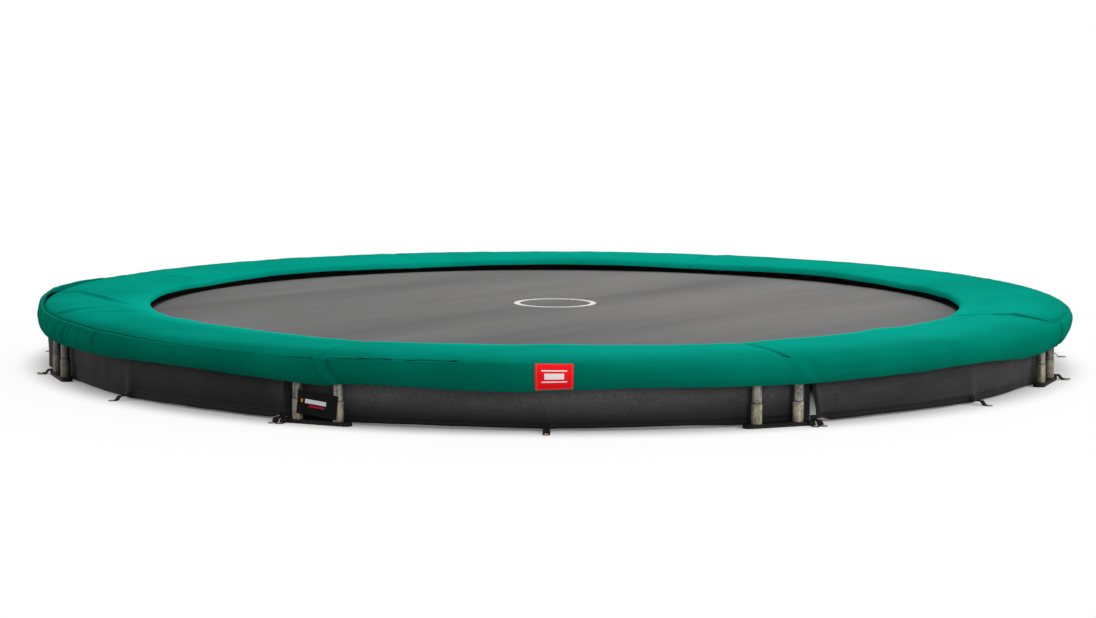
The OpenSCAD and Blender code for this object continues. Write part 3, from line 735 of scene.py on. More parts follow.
PAD_GREEN = srgb(1, 156, 136)
PAD_DEEP = srgb(0, 144, 124)
PAD_DUST = srgb(20, 168, 148)
PAD_PAINTED_HIGHLIGHT = srgb(8, 186, 166)
PAD_THREAD = srgb(2, 112, 94)
SKIRT_GREEN = srgb(0, 112, 92)
SKIRT_DEEP = srgb(0, 100, 81)
FOLD_VALLEY_SHADE = srgb(0, 72, 58)
FOLD_SEAM_SHADE = srgb(0, 56, 45)
FOLD_LIP_HIGHLIGHT = srgb(26, 148, 124)
CREASE_SHADE = srgb(0, 100, 84)
SKIRT_SHADE = srgb(0, 66, 52)
SLIT_SHADE = srgb(0, 20, 15)
GAP_SHADE = srgb(0, 36, 29)
STITCH_PITCH = 0.0075
STITCH_SHARE = 0.68
STITCH_HALF = 0.0009
# The seam in degrees at which the gap between two pads is open, and how far to both sides.
OPEN_SEAM = 22.5
OPEN_REACH = 8.0
# Where a join between pads breaks the line along the fold, in metres to the left.
JOIN_LEFT = 0.79


class PadPlace:
    """Where a point of the pad's cover is: on the cut cloth, past the fold and round the frame."""

    def __init__(self, paint):
        self.uv = paint.uv()
        self.along, self.across = parts_of(self.uv)[:2]
        self.past = self.across - FOLD_AT
        self.sideways, self.depth = parts_of(paint.place)[:2]
        turn = calc("ARCTAN2", self.sideways, self.depth * -1.0)
        self.turn = turn * (180 / math.pi) - math.degrees(PAD_TURN)
        self.run = self.turn * math.radians(CREASE_R)
        self.reach = flat_length(self.sideways, self.depth)
        self.left = ramp(self.sideways, 0.35, -0.15)
        self.far_left = ramp(self.sideways, -0.55, -0.95)


def pad_ground(p, at):
    """The clouded green, with a painted highlight along the inner edge of the near pads, painted shade
    on the top towards the fold, and a darker skirt that is partly a darker cloth and partly painted
    shade.
    """
    cloud = ramp(noise_of(p.place, 2.4, 4.0), 0.35, 0.68)
    dust = ramp(noise_of(p.place, 34.0, 5.0), 0.62, 0.85)
    base = mix(dust * 0.12, mix(cloud, PAD_DEEP, PAD_GREEN), PAD_DUST)
    # Painted highlight along the inner edge of the pads on the near side, wider towards the right.
    near_side = ramp(at.depth, 0.2, -1.0)
    rim = ramp(at.across, 0.16, 0.05) * 0.70
    highlight_band = ramp(at.across, 0.40, 0.24) * (1 - at.left) * 0.24
    base = mix((rim | highlight_band) * near_side, base, PAD_PAINTED_HIGHLIGHT)
    # Painted shade: the top darkens towards the fold, more on the near pads and far left.
    shade_to_fold = ramp(at.past, -0.30, -0.08) * 0.12 + ramp(at.past, -0.09, 0.004) * 0.20
    shade_to_fold = shade_to_fold * near_side * (1 + at.far_left * 0.8)
    above = ramp(at.past, -0.14, 0.004) * 0.22 + shade_to_fold
    # The skirt's darker green is partly a darker cloth and partly painted shade. Towards the right it
    # comes on more softly and a little paler, as painted shade and light.
    under = ramp(at.past, -0.002, 0.048 - at.left * 0.030)
    hangs = 1 - (1 - above) * (1 - under)
    skirt = mix(cloud, SKIRT_DEEP, SKIRT_GREEN)
    return mix(hangs * (0.88 + at.left * 0.12), base, skirt)


def fold_lines(at, base):
    """Left of the front, painted shade in the fold's valley and in the groove of its tight seam, and a
    painted highlight on the lip below it.
    """
    valley = line_at(at.past, 0.0035, 0.0042) * at.far_left
    base = mix(valley * 0.55, base, FOLD_VALLEY_SHADE)
    thin = noise_of(stretched(at.uv, (22.0, 1.0, 1.0)), 1.0)
    tight = at.left * ramp(thin, 0.30, 0.48)
    seam = line_at(at.past, -0.001, 0.0038) * tight * ramp(at.sideways, -0.24, -0.42)
    seam = seam * ramp(abs(at.sideways + JOIN_LEFT), 0.02, 0.06)
    faint = 0.4 + ramp(at.sideways, -0.96, -0.82) * 0.55
    base = mix(seam * faint, base, FOLD_SEAM_SHADE)
    lip = line_at(at.past, 0.0102, 0.0024) * at.left * (0.22 + at.far_left * 0.4)
    return mix(lip, base, FOLD_LIP_HIGHLIGHT)


def crease_shade(at, f0, r0, f1, r1, first, last, wide):
    """The shaded bottom of a crease in the top, along a line from one point to another."""
    x0 = math.radians(f0) * CREASE_R
    dx, dr = math.radians(f1 - f0) * CREASE_R, r1 - r0
    length = math.hypot(dx, dr)
    ux, ur = dx / length, dr / length
    aside = at.run * ur + (r0 * ux - x0 * ur) - at.reach * ux
    part = at.run * (ux / length) - (x0 * ux + r0 * ur) / length + at.reach * (ur / length)
    line = ramp(abs(aside - SHADE_SIDE), wide, SHADE_CORE) * line_at(part, 0.5, SHADE_RUN)
    return line * (part * (last - first) + first)


def fold_shade(at, front, wide, drift, dark):
    """The shaded bottom of an upright fold of the skirt, which drifts aside as it goes down."""
    aside = ramp(at.across, FOLD_AT + 0.03, HEM_AT) * drift
    return ramp(abs(at.turn - front - aside), wide * 1.2, wide * 0.1) * dark


def slit_shape(at, front, half_length, half_width):
    """Where a lens-shaped opening along the fold is painted as shade."""
    wide = ramp(abs(at.turn - front), half_length, half_length * 0.2) * half_width
    return abs(at.past) < wide


def pad_shades(at, base):
    """The shade in creases, in the skirt's folds and in the slits of the seam."""
    creases = any_of([crease_shade(at, *row) for row in CREASE_SHADES])
    base = mix(creases, base, CREASE_SHADE)
    folds = any_of([fold_shade(at, front, wide, drift, dark)
                    for front, _, wide, drift, dark in SKIRT_FOLDS if dark > 0])
    folds = folds * ramp(at.past, 0.006, 0.022) * ramp(at.across, HEM_AT - 0.008, FOLD_AT + 0.045)
    base = mix(folds, base, SKIRT_SHADE)
    return mix(any_of([slit_shape(at, *row) for row in SLITS]), base, SLIT_SHADE)


def pad_stitches(at):
    rows = line_at(at.past, -0.009, STITCH_HALF) | line_at(at.past, 0.008, STITCH_HALF)
    rows = rows | line_at(at.across, HEM_AT - 0.014, STITCH_HALF)
    ends = line_at(abs(at.along), PAD_LENGTH / 2 - 0.012, STITCH_HALF)
    return (rows * dashes(at.along, STITCH_PITCH, STITCH_SHARE)
            | ends * dashes(at.across, STITCH_PITCH, STITCH_SHARE))


def pad_gap(at):
    """The painted shade in the gap between two pads, which widens towards the fold."""
    wide = ramp(at.across, 0.15, FOLD_AT) * 0.0055
    gap = (PAD_LENGTH / 2 - 0.0012) - abs(at.along) < wide
    gap = gap * ramp(at.across, 0.10, 0.30) * ramp(at.past, 0.008, -0.004)
    is_open = abs(at.turn - OPEN_SEAM) < OPEN_REACH
    return gap * (0.15 + is_open * 0.85)


def pad_material():
    p = Paint("pad_cover", 0.86, specular=0.001)
    at = PadPlace(p)
    base = pad_shades(at, fold_lines(at, pad_ground(p, at)))
    stitches = pad_stitches(at)
    base = mix(stitches, base, PAD_THREAD)
    base = mix(pad_gap(at), base, GAP_SHADE)
    normal = bump_of(noise_of(p.place, 850.0, 2.0), 0.10, 0.0006)
    normal = bump_of(noise_of(p.place, 26.0), 0.10, 0.004, normal)
    normal = bump_of(stitches, 0.5, 0.0008, normal)
    return p.done(base, normal, ramp(noise_of(p.place, 9.0, 4.0), 0.3, 0.7, 0.8, 0.94))


LINING_PITCH = 0.0016


def lining_material():
    """The black cloth on the underside of the pads."""
    p = Paint("pad_lining", 0.9, specular=0.05)
    along, across = parts_of(p.uv())[:2]
    weave = waves(along, LINING_PITCH) * waves(across, LINING_PITCH)
    cloud = ramp(noise_of(p.place, 7.0, 4.0), 0.3, 0.7)
    return p.done(mix(cloud, srgb(14, 15, 15), srgb(28, 29, 29)), bump_of(weave, 0.3, 0.0004))


MAT_PITCH = 0.0032
SHEEN_STREAK_TURN = math.radians(52)
# Painted shade on the mat under the pads' inner edge, and a plain printed ring a little behind its
# middle.
UNDER_PAD_SHADE_FROM = 1.682
UNDER_PAD_SHADE_FULL = 1.696
MARK_R = 0.165
MARK_HALF = 0.013
MARK_BACK = 0.20


def mat_material():
    p = Paint("mat_weave", 0.85, specular=0.08)
    x, y = parts_of(p.place)[:2]
    weave = waves(x, MAT_PITCH) * waves(y, MAT_PITCH)
    # Broad diagonal bands of painted sheen across the weave.
    streak = noise_of(stretched(p.place, (0.3, 1.9, 1.0), SHEEN_STREAK_TURN), 1.0)
    base = mix(ramp(streak, 0.30, 0.70), srgb(95, 94, 94), srgb(124, 123, 122))
    thread = ramp(noise_of(stretched(p.place, (3.0, 160.0, 1.0)), 2.0), 0.2, 0.8)
    base = mix(thread * 0.18, base, srgb(86, 85, 85))
    base = mix(ramp(weave, -1.0, 1.0) * 0.14, base, srgb(70, 69, 70))
    # Painted shade where the mat runs under the pads.
    base = mix(ramp(flat_length(x, y), UNDER_PAD_SHADE_FROM, UNDER_PAD_SHADE_FULL), base, srgb(9, 9, 10))
    mark = line_at(flat_length(x, y - MARK_BACK), MARK_R, MARK_HALF)
    worn = ramp(noise_of(p.place, 60.0), 0.25, 0.45)
    return p.done(mix(mark * worn, base, srgb(226, 226, 224)), bump_of(weave, 0.25, 0.0006))


NET_PITCH = 0.0034
NET_EDGE_W = 0.018
NET_STITCH_HALF = 0.0008
TAPE_PITCH = 0.002


def net_yarn(p, uv, down, height):
    """The net's colour: clouded, darker towards the ground, with painted shade far left and towards the
    right.
    """
    cloud = ramp(noise_of(stretched(uv, (3.0, 9.0, 1.0)), 1.0, 4.0), 0.3, 0.7)
    yarn = mix(cloud, srgb(87, 87, 88), srgb(116, 115, 115))
    yarn = mix(ramp(down, 0.05, height * 0.85), yarn, srgb(38, 38, 38))
    side = parts_of(p.place)[0]
    # Painted shade on the net far to the left.
    left_shade = mix(cloud, srgb(4, 4, 5), srgb(16, 16, 17))
    yarn = mix(ramp(side, -0.75, -1.0) * 0.78, yarn, left_shade)
    # Painted shade on the net towards the right, strongest far right.
    right_shade = mix(cloud, srgb(34, 34, 35), srgb(56, 56, 57))
    yarn = mix(ramp(side, 0.1, 1.2) * 0.85, yarn, right_shade)
    fleck = ramp(noise_of(p.place, 150.0, 2.0), 0.42, 0.60)
    return mix(fleck * 0.26, yarn, srgb(16, 16, 17))


def mesh_material(length, height):
    """Open net with a ribbed tape along its two ends and its hem."""
    p = Paint("mesh_net_%d" % round(length * 1000), 0.85, specular=0.12)
    uv = p.uv()
    along, down = parts_of(uv)[:2]
    holes = ramp(waves(along, NET_PITCH), 0.0, 0.6) * ramp(waves(down, NET_PITCH), 0.0, 0.6)
    net = mix(holes, net_yarn(p, uv, down, height), srgb(18, 18, 19))
    edge = (along < NET_EDGE_W) | (along > length - NET_EDGE_W) | (down > height - NET_HEM_W)
    ribs = waves(along, TAPE_PITCH)
    base = mix(edge, net, mix(ramp(ribs, -1, 1), srgb(12, 12, 13), srgb(24, 24, 25)))
    rows = (line_at(down, height - NET_HEM_W + 0.003, NET_STITCH_HALF)
            | line_at(down, height - 0.004, NET_STITCH_HALF))
    base = mix(rows * dashes(along, 0.006, 0.66), base, srgb(48, 48, 48))
    p.shader.inputs["Sheen Weight"].default_value = 0.08
    p.shader.inputs["Sheen Roughness"].default_value = 0.5
    return p.done(base, bump_of(ribs - holes * 3.0, 0.2, 0.0004))


def crystals(place, scale):
    """The grey of each zinc crystal."""
    cell = give(place.tree, "ShaderNodeTexVoronoi", {"Vector": place, "Scale": scale}, "Color")
    return give(place.tree, "ShaderNodeSeparateColor", {0: cell})


def pitted(place):
    return bump_of(noise_of(place, 240.0), 0.12, 0.0008)


def metal_material(name, dark, light, roughness, crystal_scale, metallic):
    p = Paint(name, roughness, metallic=metallic)
    streak = noise_of(stretched(p.place, (30.0, 30.0, 5.0)), 1.6, 5.0)
    mixed = crystals(p.place, crystal_scale) * 0.45 + streak * 0.6
    base = mix(ramp(mixed, 0.25, 0.8), dark, light)
    return p.done(base, pitted(p.place), ramp(mixed, 0.2, 0.85, roughness - 0.1, roughness + 0.14))


JOINT_Z = 0.0868
JOINT_HALF = 0.0019
STEEL_GRIME = srgb(64, 56, 46)
STEEL_SIDE_SHADE = srgb(40, 36, 31)
STEEL_SHADE = srgb(36, 33, 29)


def steel_material():
    """Weathered galvanised tube, streaked down its length, with a dark ring where a post starts, and
    painted shade on the posts far to both sides and on the left.
    """
    p = Paint("galvanised", 0.5, metallic=0.35)
    side, _, up = parts_of(p.place)
    streak = noise_of(stretched(p.place, (95.0, 95.0, 5.0)), 1.0, 4.0)
    blotch = noise_of(p.place, 38.0, 4.0)
    mixed = crystals(p.place, 120.0) * 0.10 + streak * 0.6 + blotch * 0.30
    shade = ramp(mixed, 0.38, 0.62)
    above = mix(shade, srgb(70, 66, 61), srgb(174, 170, 160))
    below = mix(shade, srgb(90, 84, 70), srgb(200, 192, 166))
    base = mix(up < JOINT_Z - JOINT_HALF, above, below)
    base = mix(line_at(up, JOINT_Z, JOINT_HALF) * 0.9, base, srgb(28, 26, 24))
    grime = ramp(up, 0.045, 0.012) * ramp(blotch, 0.40, 0.62)
    base = mix(grime * 0.7, base, STEEL_GRIME)
    # Painted shade on the posts far to both sides, and more on the left.
    base = mix(ramp(abs(side), 1.3, 1.7) * 0.45, base, STEEL_SIDE_SHADE)
    base = mix(ramp(side, -0.3, -1.2) * 0.5, base, STEEL_SHADE)
    return p.done(base, pitted(p.place), ramp(mixed, 0.3, 0.7, 0.4, 0.62))


RIB_PITCH = 0.0018
CORD_PITCH = 0.0032


def webbing_material():
    p = Paint("webbing", 0.8, specular=0.12)
    along, across = parts_of(p.uv())[:2]
    weave = waves(along, RIB_PITCH) * waves(across, CORD_PITCH)
    base = mix(ramp(weave, -1, 1), srgb(10, 10, 11), srgb(24, 24, 25))
    fuzz = noise_of(p.place, 120.0, 4.0)
    return p.done(mix(fuzz * 0.25, base, srgb(38, 37, 36)), bump_of(weave, 0.35, 0.0005))


def plastic_material():
    p = Paint("foot_plastic", 0.7, specular=0.12)
    cloud = ramp(noise_of(p.place, 14.0, 5.0), 0.3, 0.7)
    base = mix(cloud, srgb(15, 14, 13), srgb(27, 25, 23))
    dust = ramp(parts_of(p.place)[2], 0.010, 0.0) * noise_of(p.place, 70.0, 4.0)
    base = mix(dust * 0.4, base, srgb(70, 62, 52))
    return p.done(base, bump_of(noise_of(p.place, 600.0, 2.0), 0.2, 0.0005))


LABEL_PITCH = 0.0012
LABEL_HEM = 0.005
LABEL_STITCH_HALF = 0.0006


def label_stitches(across, size, along):
    lines = (line_at(across, LABEL_HEM, LABEL_STITCH_HALF)
             | line_at(across, size - LABEL_HEM, LABEL_STITCH_HALF))
    return lines * dashes(along, 0.005, 0.65)


def label_material(name, size, colours, bars):
    """Woven label cloth with plain bars: middle, half its height, left and right end, colour."""
    width, height = size
    ground, deep, thread = colours
    p = Paint(name, 0.7, specular=0.08)
    along, down = parts_of(p.uv())[:2]
    weave = waves(along, LABEL_PITCH) * waves(down, LABEL_PITCH)
    base = mix(ramp(noise_of(p.place, 30.0, 4.0), 0.3, 0.7), deep, ground)
    for middle, half, left, right, colour in bars:
        inside = (along > left) * (along < right)
        base = mix(line_at(down, middle, half) * inside, base, colour)
    border = label_stitches(along, width, down) | label_stitches(down, height, along)
    normal = bump_of(weave, 0.2, 0.0003, bump_of(border, 0.4, 0.0006))
    return p.done(mix(border, base, thread), normal)


# The mesh skirt.
NET_STATIONS = 150
NET_ROWS = 22
NET_HEM_ROWS = 5
# How far a panel's two ends are drawn along the hem, at the top and at the bottom, in metres.
NET_START_PULL = {2: (0.008, 0.026)}
NET_END_PULL = {1: (0.010, 0.006)}
NET_PULL = (0.0037, 0.0037)
NET_PULL_LEN = 0.10
# Panels that billow outwards: distance before the panel's end, width and depth in metres.
NET_BILLOW = {7: (0.20, 0.13, 0.040)}
# How far the hem droops between the panel's ends, and how much more behind a leg.
NET_DROOP = 0.0105
FRONT_DROOP = 0.0075
LEG_DROOP = 0.003
# How far the net stands out at a peg, in between the pegs and behind a leg, how deep its ripples
# and the hem's are, and how much thicker the hem is.
PEG_OUT = 0.012
SAG_IN = 0.006
LEG_IN = 0.004
NET_RIPPLE = 0.0035
NET_HEM_RIPPLE = 0.0015
NET_HEM_EXTRA = 0.0012


def net_heights(i, run, free, behind, sag):
    """Heights of a panel's points: even rows of net, then the hem's own rows."""
    droop = FRONT_DROOP if i == 1 else NET_DROOP
    low_z = NET_LOW_Z - droop * free - LEG_DROOP * behind
    low_z = low_z + 0.002 * (1 + noise(run / 0.12, 0 * run, i + 300)) * sag
    hem_top = low_z + NET_HEM_W
    share = np.linspace(0, 1, NET_ROWS - NET_HEM_ROWS, endpoint=False)
    net = NET_TOP_Z + (hem_top - NET_TOP_Z) * share[None, :]
    hem = hem_top - NET_HEM_W * np.linspace(0, 1, NET_HEM_ROWS)[None, :]
    return np.concatenate([net, hem], axis=1)


def net_radius(i, length, run, peg, sag, behind, down):
    """Radii of a panel's points: out at the pegs, in between them, rippled and billowed."""
    shift = PEG_OUT * bump(peg, 0.03) - SAG_IN * sag
    r = NET_R + shift * smooth(down, 0.0, 1.05) - LEG_IN * behind * smooth(down, 0.4, 0.9)
    if i in NET_BILLOW:
        before_end, wide, deep = NET_BILLOW[i]
        r = r + deep * bump(run - (length - before_end), wide) * smooth(down, 0.0, 0.3)
    ripple = noise(run / 0.11, down * 0.8, i + 320) + 0.6 * noise(run / 0.045, down * 0.6, i + 340)
    clear = smooth(peg, 0.02, 0.12)
    r = r - NET_RIPPLE * (1 + ripple) * np.sin(np.pi * np.clip(down, 0, 1)) * clear
    ripple = noise(run / 0.05, 0 * run, i + 360) * smooth(down, 0.6, 1.0)
    return r + NET_HEM_RIPPLE * ripple * clear


def net_pull(i, length, run, down):
    """How far along the hem a panel's points are drawn near its two ends."""
    ease = smooth(down, 0.15, 1.0)
    top, low = NET_START_PULL.get(i, (-NET_PULL[0], -NET_PULL[1]))
    pull = (top + (low - top) * ease) * bump(run, NET_PULL_LEN)
    top, low = NET_END_PULL.get(i, NET_PULL)
    return pull + (top + (low - top) * ease) * bump(length - run, NET_PULL_LEN)


def net_surface(i):
    """The face and the back of a mesh panel, held at its ends and its middle by pegs."""
    start = panel_start(i) + NET_JOIN_GAP / 2 / NET_R
    sweep = join_mid(i) - NET_JOIN_GAP / 2 / NET_R - start
    length = sweep * NET_R
    t = np.linspace(0, 1, NET_STATIONS)
    t = (t - 0.5 * np.sin(4 * np.pi * t) / (4 * np.pi))[:, None]
    sag = (1 - np.cos(4 * np.pi * t)) / 2
    run = t * length
    peg = np.minimum(np.minimum(t, np.abs(t - 0.5)), 1 - t) * length
    angle = start + t * sweep
    to_leg = np.abs((angle - FRONT) % SECTOR - SECTOR / 2) * NET_R
    free = smooth(np.minimum(run, length - run), 0.03, 0.08)
    behind = (1 - smooth(to_leg, 0.15, 0.22)) * free
    z = net_heights(i, run, free, behind, sag)
    down = (NET_TOP_Z - z) / (NET_TOP_Z - NET_LOW_Z)
    r = net_radius(i, length, run, peg, sag, behind, down)
    thick = NET_THICK + NET_HEM_EXTRA * smooth(down, 0.86, 0.885)
    angle = angle + net_pull(i, length, run, down) / NET_R
    uv = grid(run, NET_TOP_Z - z)
    return polar(r, angle, z), polar(r - thick, angle, z), uv, length


def make_nets():
    height = NET_TOP_Z - NET_LOW_Z
    made = {}
    for i in NUMBERS:
        face, back, uv, length = net_surface(i)
        net = new_object("mesh_panel_%d" % i, *sheet_shell(face, back, uv), sharp=50)
        flat = (round(length, 3), round(height, 3))
        if flat not in made:
            made[flat] = mesh_material(length, height)
        dress(net, "frame", "net_%d" % i, "mesh", made[flat])


# The jumping mat and its hem, scalloped a little between the springs.
SPRING_COUNT = SECTORS * SPRINGS_PER_RAIL
MAT_TURNS = 288
MAT_FLAT_R = 1.6
MAT_WAVE = 0.0010
MAT_SCALLOP = 0.0009
HEM_TURNS = 384
HEM_SCALLOP = 0.0006


def scallop(angle):
    return np.cos(SPRING_COUNT * (angle - FRONT - SPRING_STEP / 2))


def make_mat():
    inner, outer = np.linspace(0.0, MAT_FLAT_R, 40)[1:], np.linspace(MAT_FLAT_R, MAT_R, 24)[1:]
    r, a = np.concatenate([inner, outer])[:, None], full_turn(MAT_TURNS)[None, :]
    wave = noise(r * np.cos(a) / 0.5, r * np.sin(a) / 0.5, 500) * (1 - smooth(r, 1.5, 1.75))
    z = MAT_Z + MAT_SCALLOP * scallop(a) * smooth(r, 1.62, 1.78) + MAT_WAVE * wave
    half = MAT_THICK / 2
    rings = np.concatenate([polar(r, a, z + half), polar(r, a, z - half)])
    middle = [(0, 0, MAT_Z + half), (0, 0, MAT_Z - half)]
    verts = np.concatenate([rings.reshape(-1, 3), middle])
    index = wrapped(np.arange(len(verts) - 2).reshape(-1, MAT_TURNS), 1)
    front, back = np.split(index, 2)
    faces = quads(front) + quads(back) + quads(np.stack([front[-1], back[-1]]))
    for centre, ring in ((len(verts) - 2, front[0].tolist()), (len(verts) - 1, back[0].tolist())):
        faces += [(centre, k, after) for k, after in zip(ring[:-1], ring[1:])]
    mat = new_object("jumping_mat", verts, faces, verts[:, :2], sharp=50)
    dress(mat, "jump_mat", "mat", "mat_weave", mat_material())
    2 * MAT_R
    2 * MAT_R
    math.pi * MAT_R ** 2


def make_hem(material):
    half = HEM_THICK / 2
    side = [(HEM_IN_R, 0.55), (HEM_IN_R + 0.0012, 0.9), (HEM_IN_R + 0.010, 1.0),
            (HEM_IN_R + 0.023, 0.92), (HEM_OUT_R - 0.010, 1.0), (HEM_OUT_R - 0.0015, 0.8)]
    section = [(r, -half * share) for r, share in side] + [(HEM_OUT_R, 0.0)]
    section = np.array(section + [(r, half * share) for r, share in reversed(side)])
    r, up = section[None, :, 0], section[None, :, 1]
    a = full_turn(HEM_TURNS)[:, None]
    loops = polar(r, a, MAT_Z + up + np.sign(up) * HEM_SCALLOP * scallop(a))
    uv = grid(a * HEM_OUT_R, r - HEM_IN_R)
    hem = new_object("mat_hem_band", *ring_shell(loops, uv, True), sharp=50)
    dress(hem, "jump_mat", "mat_hem", "webbing", material)


# The springs: one wire each, from the hook in the rail through the coil to the hook on the ring.

def ring_points(radius, low, high, count):
    """Points on part of a circle, between two angles in degrees."""
    a = np.radians(np.linspace(low, high, count))
    return list(zip(radius * np.cos(a), radius * np.sin(a)))


def spring_path():
    """A spring's wire in its own plane: x out from the centre, y aside, z up from the spring's axis."""
    mean = COIL_R - SPRING_WIRE_R
    hook = [(HOOK_BEND_X + HOOK_BEND_R, 0, -HOOK_BEND_R - HOOK_TAIL)]
    hook += [(HOOK_BEND_X + x, 0, z - HOOK_BEND_R) for x, z in ring_points(HOOK_BEND_R, 0, 90, 7)]
    hook += [(COIL_OUT_R + 0.006, 0, 0), (COIL_OUT_R + 0.001, 0, mean * 0.55)]
    turn = np.linspace(0, 2 * math.pi * COIL_TURNS, COIL_TURNS * TURN_POINTS + 1)
    run = COIL_OUT_R - 0.003 + (COIL_IN_R - COIL_OUT_R + 0.006) * turn / turn[-1]
    coil = np.stack([run, mean * np.sin(turn), mean * np.cos(turn)], axis=1)
    far = [(COIL_IN_R - 0.001, 0.0008, RING_HOOK_R + 0.002), (COIL_IN_R - 0.006, 0, RING_HOOK_R)]
    bend = ring_points(RING_HOOK_R, 90, 90 + math.degrees(RING_HOOK_SWEEP), 15)
    far += [(SPRING_END_R + x, 0, z) for x, z in bend]
    path = np.concatenate([hook, coil, far])
    x, z = path[:, 0] - SPRING_ROOT_R, path[:, 2].copy()
    path[:, 0] = SPRING_ROOT_R + x * math.cos(SPRING_SLOPE) - z * math.sin(SPRING_SLOPE)
    path[:, 2] = x * math.sin(SPRING_SLOPE) + z * math.cos(SPRING_SLOPE)
    return path


def make_springs(material):
    verts, faces, uvs = tube_shell(spring_path(), SPRING_WIRE_R, WIRE_SIDES)
    for i in NUMBERS:
        for k in range(1, SPRINGS_PER_RAIL + 1):
            angle = rail_mid(i) + (k - (SPRINGS_PER_RAIL + 1) / 2) * SPRING_STEP
            out, aside = axes_at(angle)
            place = verts[:, :1] * out + verts[:, 1:2] * aside + (verts[:, 2:] + RAIL_Z) * UP
            spring = new_object("spring_%d_%d" % (i, k), place, faces, uvs, sharp=80)
            spring.data.materials.append(material)
            tuple(out * RING_TOP_R + UP * MAT_Z)
            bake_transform(spring)
            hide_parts("springs_%d" % i)


# Straps, ties, tabs and eyelets.

def place_band(parts, profile, angle, centre_r, centre_z, width, thick):
    """Adds a band that follows a profile of (out, up) points at an angle round the frame."""
    out, aside = axes_at(angle)
    path = [out * (centre_r + x) + UP * (centre_z + z) for x, z in profile]
    parts.add(*band_shell(path, aside, width, thick))


def rail_bands(name, node, profiles, shares, material):
    """Bands of webbing round the rail, between springs, at shares of each rail's length."""
    parts = Parts()
    for i in NUMBERS:
        for share in shares:
            gap = round(share * SPRINGS_PER_RAIL) - SPRINGS_PER_RAIL / 2
            angle = rail_mid(i) + gap * SPRING_STEP
            for profile in profiles:
                place_band(parts, profile, angle, RAIL_R, RAIL_Z, STRAP_W, STRAP_THICK)
    dress(parts.make(name), "frame", node, "webbing", material)


def make_straps(material):
    profile = [(-STRAP_MID_R, RAIL_OR * 0.97), (-STRAP_MID_R, RAIL_OR * 0.5)]
    profile += ring_points(STRAP_MID_R, 180, 360, 25)
    profile += [(STRAP_MID_R, RAIL_OR * 0.3), (STRAP_MID_R, RAIL_OR * 0.62)]
    rail_bands("pad_strap_webbing", "pad_straps", [profile], (1 / 6, 1 / 2, 5 / 6), material)


def make_ties(material):
    tail = NET_TOP_Z - RAIL_Z - 0.024
    clip = ring_points(STRAP_MID_R, 126, 398, 34)
    hang = [(-STRAP_MID_R, z) for z in np.linspace(0, tail, 9)]
    rail_bands("mesh_tie_webbing", "net_ties", [clip, hang], (1 / 3, 2 / 3), material)


def tab_angles():
    half = TAB_PITCH / 2 / RAIL_R
    for i in NUMBERS:
        yield panel_mid(i)
        yield join_mid(i) - half
        yield join_mid(i) + half


TAB_HOLE_R = 0.0062


def tab_end():
    """The tab's end round its eyelet: a square with a round tip and a hole, as two rings of points."""
    half = TAB_W / 2
    angles = np.concatenate([np.linspace(-90, 90, 21), np.linspace(90, 270, 33)[1:-1]])
    c, s = np.cos(np.radians(angles)), np.sin(np.radians(angles))
    square = half / np.maximum(np.abs(c), np.abs(s))
    reach = np.where(c >= -1e-9, half, square)
    return grid(TAB_HOLE_R * c, TAB_HOLE_R * s), grid(reach * c, reach * s)


def tab_profile():
    """The tab's way from the mesh hem over the foot bar's edge down to the ground."""
    over = FOOT_TOP + 0.001 + TAB_THICK / 2
    flat_z = TAB_LOW_Z + TAB_THICK / 2
    edge_r = FOOT_OUT_R + 0.006
    flat_r = edge_r + 0.012
    root = TAB_ROOT_R + TAB_THICK / 2
    points = [
        (root, NET_LOW_Z + 0.014), (root, over + 0.006), (root + 0.0012, over + 0.0018),
        (root + 0.006, over), (edge_r - 0.004, over), (edge_r + 0.0015, over - 0.0015),
        (flat_r - 0.002, flat_z + 0.0025), (flat_r + 0.002, flat_z + 0.0002),
        (EYELET_R - TAB_W / 2, flat_z)]
    return curve_through(points, [4, 4, 4, 5, 4, 5, 4, 4])


def make_tabs(material):
    profile = tab_profile()
    rim, edge = tab_end()
    rings = np.stack([rim, edge, edge, rim], axis=1)
    low, high = TAB_LOW_Z, TAB_LOW_Z + TAB_THICK
    heights = np.array((low, low, high, high))[None, :, None]
    uv = rings + np.array((0.1, 0.0))
    parts = Parts()
    for angle in tab_angles():
        place_band(parts, profile, angle, 0.0, 0.0, TAB_W, TAB_THICK)
        out, aside = axes_at(angle)
        loops = out * EYELET_R + rings[..., :1] * out + rings[..., 1:] * aside + heights * UP
        parts.add(*ring_shell(loops, uv, True))
    dress(parts.make("peg_tab_webbing"), "frame", "net_tabs", "webbing", material)


EYELET_TURNS = 32
# An eyelet's section, as radius and height: below the tab above the ground, then above the tab.
EYELET_LOW = [
    (0.0045, 0.0007), (0.0052, 0.0005), (0.0090, 0.0006), (0.0095, 0.0009), (0.0090, 0.00115),
    (0.0061, 0.00118)]
EYELET_HIGH = [
    (0.0060, 0.0001), (0.0090, 0.0001), (0.0096, 0.0004), (0.0091, 0.0010), (0.0068, 0.0014),
    (0.0053, 0.0013), (0.0046, 0.0007)]


def make_eyelets(material):
    top = TAB_LOW_Z + TAB_THICK
    section = np.array(EYELET_LOW + [(r, top + z) for r, z in EYELET_HIGH])
    r, z = section[None, :, 0], section[None, :, 1]
    turns = full_turn(EYELET_TURNS)[:, None]
    uv = grid(turns * 0.008, z)
    parts = Parts()
    for angle in tab_angles():
        loops = axes_at(angle)[0] * EYELET_R + polar(r, turns, z)
        parts.add(*ring_shell(loops, uv, True))
    eyelets = parts.make("brass_eyelets", sharp=60)
    dress(eyelets, "frame", "tab_eyelets", "eyelet_brass", material)


